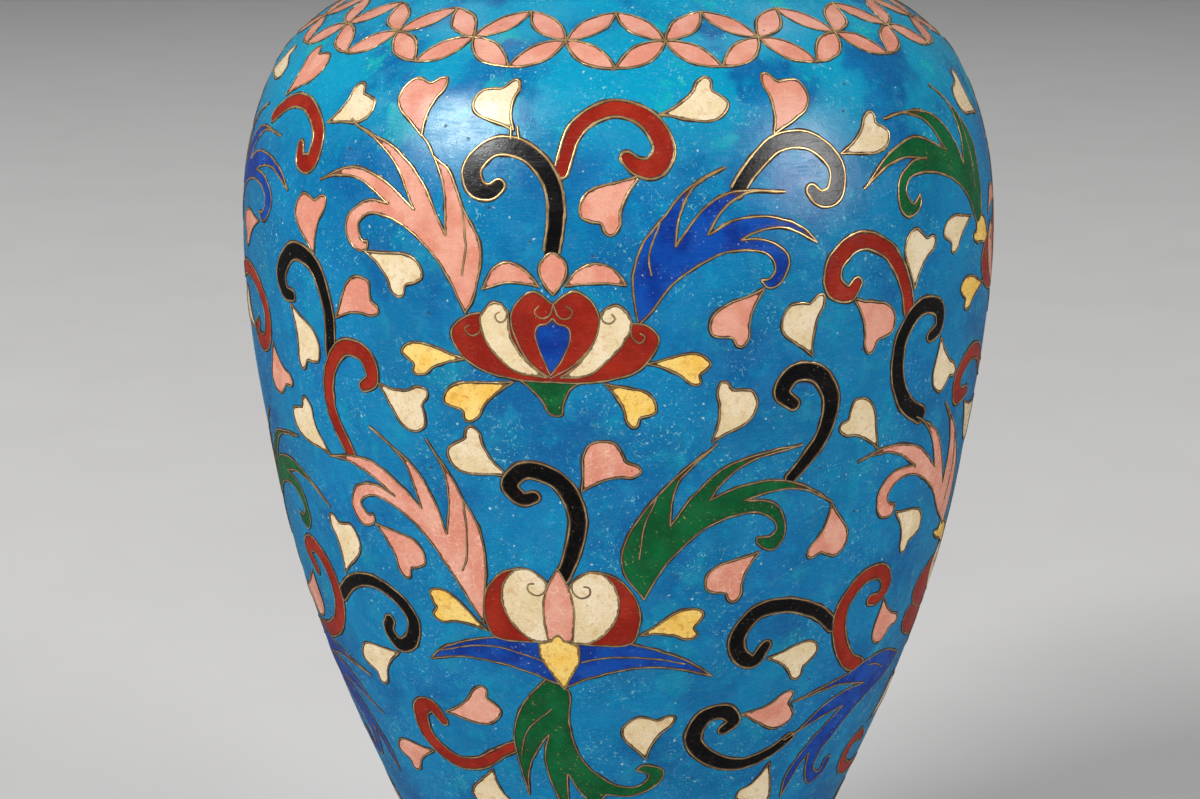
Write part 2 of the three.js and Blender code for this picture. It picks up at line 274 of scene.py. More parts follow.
def upper_lotus(axis, lift, inner):
    """The upper flower. inner is the colour of the petals beside its heart."""
    at = lambda points: turned(points, axis - FRONT, lift)
    petal("green", 4, at([
        (-13, 21.2), (-11.6, 19.9), (-10.1, 18), (-9.2, 15.9)]), at([
        (-8.6, 15.5), (-7.5, 15.6), (-7.2, 17.7), (-6.3, 20.1), (-5, 21.4)]))
    petal("red", 5, at([
        (-17.6, 32.4), (-20.6, 31.4), (-22.7, 28.6), (-21.6, 25.2), (-18.9, 22.9), (-13.9, 21.4),
        (-8.8, 21.2), (-2, 21.6), (2.4, 23.2), (4.6, 25.8), (5.4, 28.7), (3.9, 30.8), (1.4, 31.2)]), at([
        (-2, 30), (-8.6, 27)]))
    petal(inner, 6, at([
        (-9.4, 22), (-13.4, 22.6), (-16, 24.8), (-17.8, 27.6), (-18.5, 31.4), (-16.6, 34)]), at([
        (-15.4, 33.8), (-14.7, 32.6), (-14.2, 28.4), (-12, 24.4)]))
    petal(inner, 6, at([
        (-7.6, 22), (-3.8, 22.6), (-1, 25.4), (1, 28.4), (1.8, 31.4), (0, 34.2)]), at([
        (-1.6, 33.6), (-2.6, 31.6), (-3.2, 28), (-5.4, 24.2)]))
    petal("red", 7, at([
        (-8.5, 34.2), (-11.2, 36.1), (-14.1, 32.6), (-13.6, 28.4), (-11.4, 24), (-8.8, 21.9)]), at([
        (-8.8, 21.9), (-5.6, 24.4), (-3, 28.4), (-2.4, 32), (-3.6, 35), (-5.8, 36.4)]))
    petal("cobalt", 8, at([
        (-8.6, 31.9), (-9.3, 31), (-10.5, 30.6), (-10.9, 29.3), (-10.5, 26.9), (-9.6, 24.2)]), at([
        (-8.9, 22.4), (-7.3, 25.2), (-6.3, 28), (-6.2, 29.7), (-6.7, 30.6), (-7.9, 31)]))
    petal("pink", 6, at([
        (-18.2, 36), (-16.6, 39.5), (-14.7, 40.7), (-12.6, 39.8), (-10.3, 37)]), at([
        (-10.3, 37), (-12.4, 37.4), (-15, 37.3)]))
    petal("pink", 6, at([
        (-7, 37.2), (-5.2, 39.8), (-2.9, 40.9), (-0.6, 40.1), (1.1, 37.4)]), at([
        (1.1, 37.4), (-1.4, 37.7), (-4.2, 37.6)]))
    petal("pink", 7, at([
        (-8.5, 35.6), (-10, 38), (-10.4, 40), (-8.8, 42.5), (-6.9, 41), (-6.9, 38.6)]))
    vein(*at([(-8.5, 34.2), (-8.9, 32.4), (-10, 31.8), (-11, 32.8), (-10.4, 33.9)]))
    vein(*at([(-8.5, 34.2), (-7.8, 32.2), (-6.5, 31.9), (-5.9, 33.1), (-6.8, 34)]))
    vein(*at([(-14.6, 33), (-15, 31.2), (-15.9, 30.8), (-16.4, 31.9), (-15.8, 32.6)]))
    vein(*at([(-2.2, 33), (-1.9, 31.5), (-1, 31.2), (-0.3, 32), (-0.8, 32.8)]))
    vein(*at([(-18.5, 31), (-18.6, 29), (-19.8, 28.3), (-20.7, 29.3), (-20, 30)]))
    vein(*at([(1.8, 31), (1.9, 29), (3, 28), (3.6, 29), (2.9, 29.6)]))


def lower_lotus():
    """The lower flower at the front, over its long blue sepals."""
    petal("cobalt", 4, [
        (-10, -26.2), (-15.1, -26), (-18.6, -26.2), (-24.8, -28), (-30.1, -30.8), (-32.6, -33.3)], [
        (-32.6, -33.3), (-27.5, -31.7), (-23.9, -31.3), (-18, -31.8), (-13.6, -33), (-9, -34.4)])
    petal("cobalt", 4, [
        (-8, -26.6), (-3.2, -26.2), (0.4, -26), (5.2, -27.2), (11.5, -30.2), (15.8, -33.6)], [
        (15.8, -33.6), (10.9, -31.9), (6, -31), (1.5, -31.4), (-4.6, -33.3), (-8.6, -35)])
    wire("flower_wires", 4, [(-11, -30.6), (-15.1, -29.2), (-19.5, -28.3), (-24, -28.9), (-30.1, -31)])
    wire("flower_wires", 4, [(-6.6, -30.4), (-3.2, -29.3), (1, -28.9), (5.8, -29.3), (11, -30.6)])
    for side in (-1, 1):
        at = lambda points: [(FRONT + 0.3 - side * a, h) for a, h in points]
        petal("red", 5, at([
            (2, -26.4), (10.8, -26.2), (12, -23.6), (12.2, -20.4), (11, -16.4), (8.6, -13.6),
            (6, -12.4)]), at([(6, -12.4), (2, -16)]))
        petal("cream", 6, at([
            (1.6, -26.2), (4.4, -26.2), (7.4, -23.6), (8.9, -20), (8.6, -15.8), (6.6, -12.9), (4.4, -12.6),
            (2.2, -14.4), (1.4, -16), (1, -20)]))
        vein(*at([(2, -14.8), (2.1, -16.4), (3.4, -17.4), (4.7, -16.6), (4.6, -15.4),
                                    (3.7, -15.2)]))
    petal("pink", 7, [
        (-8.8, -12), (-10.6, -16), (-11.3, -20), (-10.8, -25.9)], [
        (-10.8, -25.9), (-6.9, -25.9)], [(-6.9, -25.9), (-6.5, -20), (-7.2, -15.8)])
    petal("yellow", 8, [
        (-12.3, -26.7), (-10.6, -26.2), (-9.3, -24.8), (-8.2, -25.9), (-6, -26.8)], [
        (-6, -26.8), (-6, -29.9), (-7.2, -32.6), (-8.6, -35.8)], [
        (-8.6, -35.8), (-11, -31.9), (-12.2, -29.2)])


def wide_lotus():
    """The lower flower at the side: two rows of red lobes round a pale heart."""
    for side in (-1, 1):
        at = lambda points: [(SIDE + side * a, h) for a, h in points]
        petal("red", 4, at([
            (0, -43), (8, -41), (15, -38.6), (19.6, -35.4), (19.8, -32.6), (17.8, -31.2)]), at([
            (17.8, -31.2), (8, -30), (0, -32)]))
        petal("red", 5, at([
            (0, -36), (10, -34.6), (17.6, -31.2), (19.4, -28), (17, -25), (12, -23.6)]), at([
            (12, -23.6), (5, -28)]))
        petal("cream", 6, at([
            (0, -34), (5.4, -33), (10, -29.6), (11.6, -25.4), (9.4, -22.4), (6, -23)]), at([
            (6, -23), (3.6, -27)]))
        vein(*at([(6.4, -23.6), (5.9, -25.6), (7.2, -26.8), (8.8, -25.8), (8.2, -24.4)]))
    petal("pink", 7, [
        (SIDE, -19.6), (SIDE - 3.2, -24), (SIDE - 3.6, -29), (SIDE, -34.6)], [
        (SIDE, -34.6), (SIDE + 3.6, -29), (SIDE + 3.2, -24)])
    petal("yellow", 8, [
        (SIDE - 8, -41.4), (SIDE - 3, -38.6), (SIDE, -36.6), (SIDE + 3, -38.6), (SIDE + 8, -41.4)], [
        (SIDE + 8, -41.4), (SIDE + 4, -44.4), (SIDE, -46.6), (SIDE - 4, -44.4)])


# ---------------------------------------------------------------- plumes

FRONT_UPPER_LEFT = [
    [(-20.6, 31.9), (-24.1, 39.2), (-29.5, 44.7), (-35.1, 46.6), (-37.2, 45.9), (-38.2, 44.2),
     (-37.3, 41.8)],
    [(-36.3, 41.9), (-36.4, 40.6), (-37.8, 40.1), (-39.5, 41.1), (-40.5, 43.3), (-40.1, 45.8),
     (-36.6, 48.5)],
    [(-33.1, 48.4), (-38.6, 51.6), (-43.1, 51.8)],
    [(-47, 50.5), (-40.5, 53.4), (-34.2, 52)],
    [(-28.7, 47.9), (-32.8, 55), (-37.2, 58.3)],
    [(-40.1, 59.6), (-33.4, 57.3), (-28.1, 52.7)],
    [(-23.6, 44.3), (-24.2, 51.1), (-25.4, 54.6)],
    [(-26.4, 56.4), (-23.9, 54.6)],
    [(-21.3, 48.8), (-18.9, 44.3), (-18.4, 41.1), (-19.5, 34.4)],
]
FRONT_UPPER_RIGHT = [
    [(2.7, 31), (2, 38.3), (3.3, 44)],
    [(5.6, 47.5), (9.2, 52.3), (13.3, 55)],
    [(14.8, 55.6), (10.4, 52.9), (8.3, 48.6)],
    [(7.6, 43.5), (11.2, 49), (15.1, 51.6), (20.4, 51.7)],
    [(23.3, 51.3), (17.4, 51.4), (13.9, 48.8)],
    [(12, 45.2), (15.9, 47.4), (20.4, 47.6), (25.4, 45.6)],
    [(27.7, 42.9), (22.7, 45.7), (18.3, 45.2)],
    [(16.5, 44.2), (18.9, 44.2), (21.2, 43.3), (22.9, 41.7), (23.4, 39.7), (21.8, 36.5), (20.4, 36.1)],
    [(19.3, 37.4), (20.6, 37.7), (21.4, 39), (21.1, 40.6), (19.8, 41.9), (14.5, 42.3), (8, 38.3),
     (4, 32.5)],
]
SIDE_UPPER_LEFT = [
    [(64.7, 40.1), (60.3, 46.8), (52.9, 50.9), (46.8, 51.4), (45, 50.4), (44.4, 49), (45.6, 46.8),
     (46.8, 47.5)],
    [(47.4, 48.2), (47.5, 46.8), (46.2, 45.2), (44.4, 44.9), (42.9, 46.5), (43.2, 50.7), (46.8, 53.6)],
    [(50.4, 53.7), (44.4, 54.4), (40, 53)],
    [(36.2, 50.5), (41.8, 55.3), (48.2, 57.4), (52.9, 55.9)],
    [(56.3, 54.1), (52.6, 59.4), (47.6, 61.4)],
    [(42.6, 61), (50.3, 61.5), (55.6, 59.8), (59.4, 55.7)],
    [(61.3, 51.1), (62.5, 56), (61.2, 61.7)],
    [(57.2, 65), (62.1, 61)],
    [(63.8, 59.1), (67.1, 54.3), (67.5, 47.2), (66.8, 41.1)],
]
FRONT_LOWER_LEFT = [
    [(-21.2, -24), (-25.4, -15.5), (-31.3, -6.8), (-37.2, -3.4), (-39.5, -3.4), (-41.3, -4.4), (-42, -5.6),
     (-40.6, -7.3)],
    [(-39.5, -6.8), (-39.4, -8.1), (-40.4, -9.1), (-42.2, -9.4), (-44.1, -6.2), (-42.2, -2.2),
     (-37.8, -1.1)],
    [(-34.5, -2.4), (-39.2, 0.8), (-43.6, 2.1)],
    [(-48, 1.9), (-41.6, 3.4), (-37.2, 2.8), (-32.8, -0.5)],
    [(-29.8, -3.6), (-31.9, 4.2), (-35.7, 8.4)],
    [(-37.9, 9.6), (-30.7, 4.2), (-27.5, -1.7)],
    [(-25.9, -7.7), (-25, -1.5), (-25.3, 3.9)],
    [(-27.8, 9.4), (-23.9, 2.5)],
    [(-22.8, -0.3), (-20.4, -6.2), (-19.9, -13.1), (-20.7, -20)],
]
FRONT_LOWER_RIGHT = [
    [(4.1, -17.7), (0.9, -12), (1.1, -7.2), (3.6, -1.7)],
    [(5.6, 1.4), (9.2, 5.9)],
    [(13.9, 10.4), (8.6, 3.9), (7.6, -1.7)],
    [(7.6, -4.1), (10.9, 1.4), (15.1, 5.9), (21.8, 8.2)],
    [(26.8, 8.6), (18.6, 6.6), (15.1, 3.5)],
    [(13.1, 0.2), (17.4, 2.3), (22.7, 2.8), (27.7, 1.1)],
    [(33.3, -3), (27.7, 0.4), (23, 0.9)],
    [(18.4, -0.3), (22.4, -1), (24.2, -2.7), (25.4, -6.8), (24.9, -8.9), (23.6, -10.1), (20.9, -8.4)],
    [(20.9, -7.4), (23, -7.5), (23.9, -6.3), (23.4, -4.8), (20.4, -2.7), (13.9, -4.1), (8, -10),
     (4.8, -15.8)],
]
SIDE_LOWER_LEFT = [
    [(69.7, -17.6), (63.8, -13.1), (57.9, -6.5), (50.6, -2.1), (46.5, -2.5), (45, -5.1), (46.2, -6.5)],
    [(47.4, -6.7), (46.8, -8.6), (45.3, -8.8), (43.8, -8.1), (42.6, -4.1), (45, -0.5), (49.4, -0.2)],
    [(51.3, -0.6), (45, 3.4), (40, 4.1)],
    [(37.1, 3.5), (42.6, 5), (50.6, 3.2)],
    [(58.1, -2.8), (54.7, 3.9), (51.2, 7.7)],
    [(49.1, 9.1), (56.5, 4.2), (60, -1)],
    [(63.4, -7.4), (63.2, -1.3), (61.2, 4.6)],
    [(57.5, 9.6), (63.8, 3.2)],
    [(65.6, 0.8), (69.7, -5.1), (71.2, -12)],
]
FRONT_TAIL = [
    [(-11.6, -33.9), (-16, -39.5), (-18.6, -46.6), (-18.2, -53.8)],
    [(-17.6, -60), (-16.6, -53.8), (-13.6, -47.8)],
    [(-12, -45.7), (-13.2, -50.8), (-12.2, -57.6)],
    [(-9.3, -65), (-9.5, -57)],
    [(-9.2, -54.1), (-6.3, -59.1)],
    [(-2, -63.5), (-3, -60)],
    [(-2, -58.5), (2.7, -58.8), (7.7, -56.4), (8.7, -53.2), (4.8, -52)],
    [(3.7, -53), (6.1, -54.2), (4.2, -56.6), (0.1, -56.4), (-6.1, -51.1), (-8.2, -43.3), (-8.1, -35.8)],
]
SIDE_TAIL = [
    [(64.7, -41.8), (56.5, -38.6), (50.6, -38.4), (44.7, -39.8), (38.8, -40.8)],
    [(32.4, -42.3), (42.9, -41.5)],
    [(51.8, -43.8), (45.9, -43.6), (40.3, -45.4), (35.6, -49.3)],
    [(32.9, -50.5), (40.3, -47.9)],
    [(46.8, -47), (40.6, -52.3), (36.5, -59.1)],
    [(36.8, -64.5), (39.2, -58)],
    [(40.9, -55.5), (41.8, -59.7), (44.7, -63.6), (48.8, -62.4), (49.1, -58.8)],
    [(47.6, -58.8), (47.2, -61.6), (44.4, -60), (44.7, -55.5)],
    [(45.9, -54.4), (50, -50.2), (55.9, -46.6), (61.2, -44.8)],
]

SIDE_STRETCH = 1.2
SIDE_LIFT = 4.5
SIDE_LOWER_TURN = 96.5
SIDE_LOWER_DROP = -5.5


def plumes():
    plume("pink_plumes", FRONT_UPPER_LEFT, [(-21.3, 48.8), (-20.6, 42.6), (-21.1, 38)])
    plume("pink_plumes", FRONT_LOWER_LEFT, [(-22.8, -0.3), (-22.5, -4.1), (-23.1, -12.4), (-23.9, -14.3)])
    plume("pink_plumes", SIDE_LOWER_LEFT, [(64.4, 2), (67.4, -5.8), (66.5, -12)])
    plume("green_plumes", SIDE_UPPER_LEFT, [(63.8, 59.1), (64.9, 50.7), (64.6, 46.5)])
    plume("green_plumes", FRONT_TAIL, [(-11.1, -40.1), (-16, -45.4), (-17.8, -50.8)])
    middle = [(51.2, -39.8), (54.1, -40.6), (57.6, -42.4)]
    for at in (lambda points: points, lambda points: [(2 * SIDE - a, h) for a, h in points]):
        plume("cobalt_plumes", [at(stroke) for stroke in SIDE_TAIL], at(middle))

    middle = [(5.6, 47.5), (4.1, 41.9), (4.4, 39)]
    plume("cobalt_plumes", FRONT_UPPER_RIGHT, middle)
    at = lambda points: turned(points, SIDE - FRONT, SIDE_LIFT, SIDE_STRETCH, FRONT)
    plume("cobalt_plumes", [at(stroke) for stroke in FRONT_UPPER_RIGHT], at(middle))

    middle = [(5.6, 1.4), (3.9, -4.1), (3.2, -10)]
    plume("green_plumes", FRONT_LOWER_RIGHT, middle)
    at = lambda points: turned(points, SIDE_LOWER_TURN, SIDE_LOWER_DROP)
    plume("green_plumes", [at(stroke) for stroke in FRONT_LOWER_RIGHT], at(middle))


# ---------------------------------------------------------------- scrolls and leaves

BLACK_SCROLLS = [
    ([(-8.7, 42.6), (-8.2, 49.3), (-9.5, 54.6), (-13.1, 58.2), (-17.5, 58.5), (-20.4, 55), (-19.4, 52),
      (-17.4, 51.6), (-16.3, 52.6)], (2.3, 2.5, 2.9, 1.9)),
    ([(16.2, 51.8), (18.6, 55.3), (23, 58.9), (28.3, 58.7), (31.8, 54.6), (30.9, 50.2), (28.6, 49.8),
      (27.4, 51.2)], (2, 2.5, 2.8, 1.8)),
    ([(50, 9.1), (45.9, 12.2), (43.2, 18), (43.6, 24.7), (47.4, 28.9), (52.1, 27.7), (52.4, 24.4),
      (50.3, 23.2)], (2.8, 2.7, 2.6, 1.8)),
    ([(25.4, 2.8), (29.8, 9.4), (30.9, 16), (28.3, 20.8), (24.4, 21.3), (22.9, 18.2), (24.8, 16)],
     (1.8, 2.8, 2.7, 1.8)),
    ([(-8.1, -13.8), (-6.6, -9.3), (-5.6, -2.4), (-8.1, 3.9), (-12.8, 5.6), (-15.3, 2.8), (-13.4, 0.3),
      (-11.8, 0.9)], (2, 2.7, 2.6, 1.7)),
    ([(-44.4, 20.8), (-44.4, 29.4), (-47.5, 36.2), (-52.8, 37.4), (-56.3, 32.8), (-55.1, 29.8),
      (-53.1, 29.6)], (2, 2.4, 3.1, 1.6)),
    ([(-52.2, -26), (-48.4, -22.5), (-43.1, -20.5), (-37.5, -22.2), (-34.8, -26), (-36.3, -30.8),
      (-39.2, -32.2), (-41, -29.6), (-40.1, -27.5)], (2.2, 2.1, 2.5, 1.8)),
    ([(37.6, -27.8), (33.5, -24), (27.1, -21.3), (22.1, -21.9), (19.3, -26.4), (20.1, -29.9), (22.7, -31.7),
      (24.6, -28.7)], (2, 2.6, 2.6, 1.7)),
    ([(34, -50.2), (29.2, -52.9), (23.3, -53.8), (17.4, -51.4), (13.7, -46.9), (15.4, -42.1), (19, -41.6),
      (20.9, -43.9), (19.2, -45.4)], (1.8, 2.6, 2.8, 1.7)),
    ([(82.2, 46.8), (82.6, 53), (84.6, 58), (88.6, 61), (93, 60), (94.8, 56.8), (92.9, 54.4), (91, 55.6)],
     (2.2, 2.5, 2.8, 1.9)),
    ([(81, -19.5), (82.2, -13), (84, -7), (87.4, -2.8), (91.4, -2.6), (93.8, -5.8), (92.4, -8.8),
      (90.2, -7.8)],
     (2, 2.7, 2.6, 1.7)),
    ([(83, -47), (86, -51), (90.5, -56), (91, -61.5), (87, -65), (82.5, -63.5), (81.8, -60), (84.2, -59)],
     (2, 2.6, 2.6, 1.7)),
]
RED_SCROLLS = [
    ([(-7.7, 55.2), (-5.8, 61.7), (-1.1, 64.7), (4.2, 63.1), (6.4, 58.5), (4.8, 55.8), (2.7, 56),
      (1.2, 57.4)], (2, 2.5, 3.3, 1.7), 1.5),
    ([(44.7, 28.4), (43.8, 33), (40.3, 39.7), (34.7, 42.2), (30.6, 39), (30.4, 35.4), (32.9, 33.7),
      (34.3, 35.3)], (2.2, 2.5, 3.2, 1.8), 1.5),
    ([(82, 9), (76, 11.5), (71.2, 15.3), (65.3, 16.1), (61.3, 12.9), (62, 9.6), (66.5, 9.1)],
     (2.4, 2.6, 3.2, 1.6)),
    ([(-42.5, 3.5), (-45.6, 11.1), (-45.1, 17.7), (-41.6, 22.9), (-37.4, 22.4), (-36.3, 18.4),
      (-38.1, 16.8)], (2, 2.3, 2.7, 1.7), 2.5),
    ([(-80, 28), (-73.1, 30.2), (-67.2, 29.4), (-62.8, 24.8), (-63.8, 19.2), (-67.5, 18), (-69.2, 19.4),
      (-67.5, 21.5)], (2.2, 2.4, 2.8, 1.5)),
    ([(-65.7, 58.5), (-60.7, 61.5), (-54.8, 61.9), (-49.6, 57.8), (-50, 53), (-52.8, 52.9),
      (-53.5, 55.3)], (2, 2.2, 3, 1.3)),
    ([(-70, -38.6), (-62.8, -36.8), (-57.2, -33.2), (-54.2, -27.5), (-55.4, -21.4), (-59.6, -18.4),
      (-62.6, -20.4), (-60.4, -23.8)], (2.4, 3, 2.8, 1.8), 2.5),
    ([(47.4, -38.6), (43.8, -36.5), (40, -30.8), (39, -24.9), (42.4, -19.8), (47.4, -19.8), (49.4, -23.4),
      (47.8, -25.2), (45.9, -24.9)], (2.6, 2.7, 2.5, 1.8), 2.5),
    ([(-17.5, -48.4), (-21.6, -50.8), (-27.2, -54.5), (-33.1, -55.1), (-38.2, -51), (-38, -45.2),
      (-35.2, -43.9), (-33.1, -46.6)], (1.6, 2.6, 3, 1.6)),
    ([(70, -67), (63, -66.5), (57.2, -63), (57.6, -59.2), (61, -58.3), (64, -60)], (2, 2.4, 2.6, 1.5)),
]
CREAM_LEAVES = [
    ((-48.2, 59.6), (-43.4, 66.5), (-39.2, 62.3)), ((-14.9, 61.2), (-15.2, 68.5), (-21.5, 65.3)),
    ((-36.8, 40.2), (-31, 33.4), (-27.6, 39)), ((5.8, 63.7), (13.4, 69.1), (15.3, 63.7)),
    ((27.3, 24), (28.8, 34), (22.6, 31)), ((33, 56.4), (40, 62.3), (42.2, 57.2)),
    ((45.6, 32.4), (50.7, 40), (44.4, 41.6)), ((62.6, 42), (56, 36.7), (53.7, 42)),
    ((74.8, 57.8), (70.4, 65.8), (65.4, 61)), ((-80.5, 64.5), (-73.5, 69.5), (-70.2, 65)),
    ((-53.8, 28.1), (-52.2, 17.2), (-47.1, 21.6)), ((-70, 19.3), (-75, 26.3), (-80, 21.5)),
    ((-47.5, 2.1), (-52, 11.4), (-56.8, 6)), ((-49.4, -20.9), (-50.8, -10.2), (-44.1, -12.6)),
    ((-35.3, 17.9), (-27.2, 18.1), (-29.3, 10.5)), ((-15.4, 4.4), (-20.3, 12.6), (-24, 6)),
    ((13, 10.6), (13.9, 20.8), (19.2, 16.8)), ((41, 5), (33, 10), (37, 14.9)),
    ((53.4, 22.4), (59.7, 14.9), (53.5, 13)), ((66.5, 7.3), (80, 4), (75, -2.5)),
    ((47.8, -8.4), (52, -17.4), (56.5, -12)), ((-39.7, -34), (-46.6, -42.5), (-50.5, -36.5)),
    ((-24.4, -55.2), (-21.5, -64), (-30.3, -63.5)), ((5.3, -50.6), (10, -41.8), (1.6, -43)),
    ((25.2, -31.6), (32, -37.2), (34.6, -30.6)), ((30.8, -54.8), (25, -61.5), (32.5, -65.5)),
    ((63, -56.5), (70, -48.5), (77, -53)), ((89.5, 62.6), (87.3, 69), (93.6, 67.8)),
    ((89, -1.2), (87.4, 5.8), (93.4, 4.6)),
]
PINK_LEAVES = [
    ((-29, 59.4), (-27, 68.2), (-34.3, 66.3)), ((-42.8, 27.8), (-34.6, 30), (-38, 35.6)),
    ((22.5, 60.1), (22.7, 69.1), (29.3, 66.2)), ((3, 54.6), (-0.6, 45.5), (-4.9, 50.3)),
    ((19.8, 36.2), (17, 26.9), (12.4, 31)), ((33.8, 32.8), (36.8, 23), (41.6, 28.4)),
    ((-63.7, 62.3), (-62.2, 70.4), (-55, 68.2)), ((-47.2, 37.6), (-45.2, 47.6), (-52, 45.8)),
    ((-65, 40.3), (-72.2, 34.4), (-74, 40)), ((-61.4, 19.5), (-55.7, 13.4), (-62.6, 10.6)),
    ((-39.4, -8.5), (-34.7, -17.6), (-30.6, -12)), ((-5, 2.2), (3.2, 5.8), (-2.6, 11.1)),
    ((21.5, -10.1), (18.3, -19), (13.4, -14.3)), ((33.2, -3.2), (29.9, -12.3), (36.8, -11.9)),
    ((-32.2, -44.4), (-23.4, -37.1), (-21.6, -43.8)), ((-38, -54.6), (-46, -61.2), (-49.1, -56)),
    ((22.1, -42.6), (31.6, -39.6), (31.8, -46.8)), ((49.8, -25.6), (57.2, -32.2), (50.8, -35)),
    ((-63.5, -25), (-76, -33), (-66, -35)), ((84.5, 9.6), (91, 15.4), (94, 8.6)),
    ((92.5, -61), (98.5, -67.5), (102, -61.5)),
]
YELLOW_LEAVES = [
    ((-20.6, 24.2), (-28.3, 20.6), (-29.7, 25.5)), ((-14, 20.9), (-20.4, 13.5), (-23.8, 18.3)),
    ((3.9, 24.6), (10.7, 20.7), (11.5, 25.4)), ((-1.7, 21.2), (2, 13.8), (5, 18)),
    ((72.4, 33.8), (63.4, 37.5), (67, 41.2)), ((69.2, 28.6), (61.3, 25.5), (59.6, 31)),
    ((78, -25.5), (64.5, -17.8), (71, -17.5)), ((-20.7, -25.3), (-29.8, -24.6), (-28.6, -18.6)),
    ((3.5, -24.6), (12, -25.6), (12, -19.9)), ((88.3, 25.7), (92, 18.3), (95, 22.5)),
]


LINKS = [
    [(-29, 59.6), (-27.8, 58.4), (-26.3, 56.2)], [(-42.8, 60.9), (-41.6, 60.2), (-39.9, 59.5)],
    [(-15.3, 61.8), (-15.1, 59.9)], [(-14.4, 61.8), (-14, 59.8)], [(32.5, -50.4), (33.3, -50.2)],
]


def scrolls_and_leaves():
    for points in LINKS:
        wire("leaf_wires", 2, points)
    for piece, rows in (("black_scrolls", BLACK_SCROLLS), ("red_scrolls", RED_SCROLLS)):
        for points, widths, *layer in rows:
            scroll(piece, points, widths, *layer)
    for piece, rows in (("cream_leaves", CREAM_LEAVES), ("pink_leaves", PINK_LEAVES),
                        ("yellow_leaves", YELLOW_LEAVES)):
        for tip, small_lobe, big_lobe in rows:
            leaf(piece, tip, small_lobe, big_lobe)


# ---------------------------------------------------------------- borders and the foot and neck

# How many crossings, the height of their middle, half the band's height, and a petal's width
SHOULDER_BAND = (21, 74.4, 3.9, 4.1)
NECK_BAND = (14, 115.6, 3.0, 3.4)


def lens(piece, wire_piece, start, end, width):
    """A pointed petal between two points of azimuth and height, width in mm."""
    start, end = np.array(start, float), np.array(end, float)
    middle = (start + end) / 2
    scale = np.array([degree(middle[1]), rise(middle[1])])
    along = (end - start) * scale
    across = np.array([-along[1], along[0]]) / np.hypot(*along) * width / 2 / scale
    part = (end - start) * 0.3
    cell(piece, wire_piece, 0,
         [start, middle - part + across * 0.62, middle + across, middle + part + across * 0.62],
         [end, middle + part - across * 0.62, middle - across, middle - part - across * 0.62])


def petal_band(wire_piece, units, middle, half, width):
    """Crossings round the vase, each with four petals that meet the next crossings' petals."""
    pitch = 360 / units
    for k in range(units):
        crossing = FRONT + k * pitch
        for side in (-1, 1):
            for level in (-1, 1):
                outer = (crossing + side * pitch / 2, middle + level * half)
                lens("band_petals", wire_piece, (crossing, middle), outer, width)


LAPPETS = 16
LAPPET_FOOT = -110.5
LAPPET_TOP = -88.0


def lower_border():
    """Upright pointed petals round the waist, each with a drop inside."""
    pitch = 360 / LAPPETS
    for k in range(LAPPETS):
        at = lambda points: [(k * pitch + a * pitch, LAPPET_FOOT + h * (LAPPET_TOP - LAPPET_FOOT))
                             for a, h in points]
        cell(("green_plumes", "cobalt_plumes")[k % 2], "border_wires", 1,
             at([(-0.4, 0), (-0.46, 0.3), (-0.36, 0.66), (-0.14, 0.88)]),
             at([(0, 1), (0.14, 0.88), (0.36, 0.66), (0.46, 0.3), (0.4, 0)]),
             at([(0.4, 0), (0, -0.02)]))
        cell("border_drops", "border_wires", 6,
             at([(0, 0.8), (-0.16, 0.56), (-0.2, 0.34), (0, 0.14), (0.2, 0.34), (0.16, 0.56)]))


def small_scroll(piece, leaf_piece, azimuth, height, side, size):
    """A short C-scroll with one leaf, for the lower body and the neck."""
    mm = size / degree(height)
    at = lambda points: [(azimuth + side * x * mm, height + y * size) for x, y in points]
    scroll(piece, at([(-9, -3.5), (-5.5, -5.6), (-1, -5.4), (2.8, -2.6), (3.6, 1.4), (1.6, 4.4),
                      (-1.2, 4), (-1.6, 1.4)]), [w * size for w in (1.8, 2.4, 2.6, 1.5)])
    leaf(leaf_piece, *at([(3.9, 2.4), (9.6, 7), (11.6, 1.2)]))


LOWER_GROUPS = 12
LOWER_SCROLL_LEVEL = -77


def lower_scrolls():
    """Scrolls with leaves round the lower body, and one more leaf between each two."""
    pitch = 360 / LOWER_GROUPS
    for k in range(LOWER_GROUPS):
        piece = ("black_scrolls", "red_scrolls")[k % 2]
        leaf_piece = ("pink_leaves", "cream_leaves", "yellow_leaves")[k % 3]
        small_scroll(piece, leaf_piece, (k + 0.35) * pitch, LOWER_SCROLL_LEVEL, 1, 0.82)
        tip = (k + 0.9) * pitch
        leaf(leaf_piece, (tip, -83.5), (tip - 3, -77.5), (tip + 3.2, -76))


NECK_GROUPS = 8
NECK_SCROLL_LEVEL = 98.5


def neck_ornament():
    """Scrolls with leaves round the neck, and a petal band under the lip."""
    pitch = 360 / NECK_GROUPS
    for k in range(NECK_GROUPS):
        piece = ("red_scrolls", "black_scrolls")[k % 2]
        leaf_piece = ("cream_leaves", "pink_leaves")[k % 2]
        small_scroll(piece, leaf_piece, FRONT + k * pitch, NECK_SCROLL_LEVEL, (1, -1)[k % 2], 0.95)
    petal_band("border_wires", *NECK_BAND)


FOOT_PETALS = 20
FOOT_PETAL_HEIGHT = 13.5


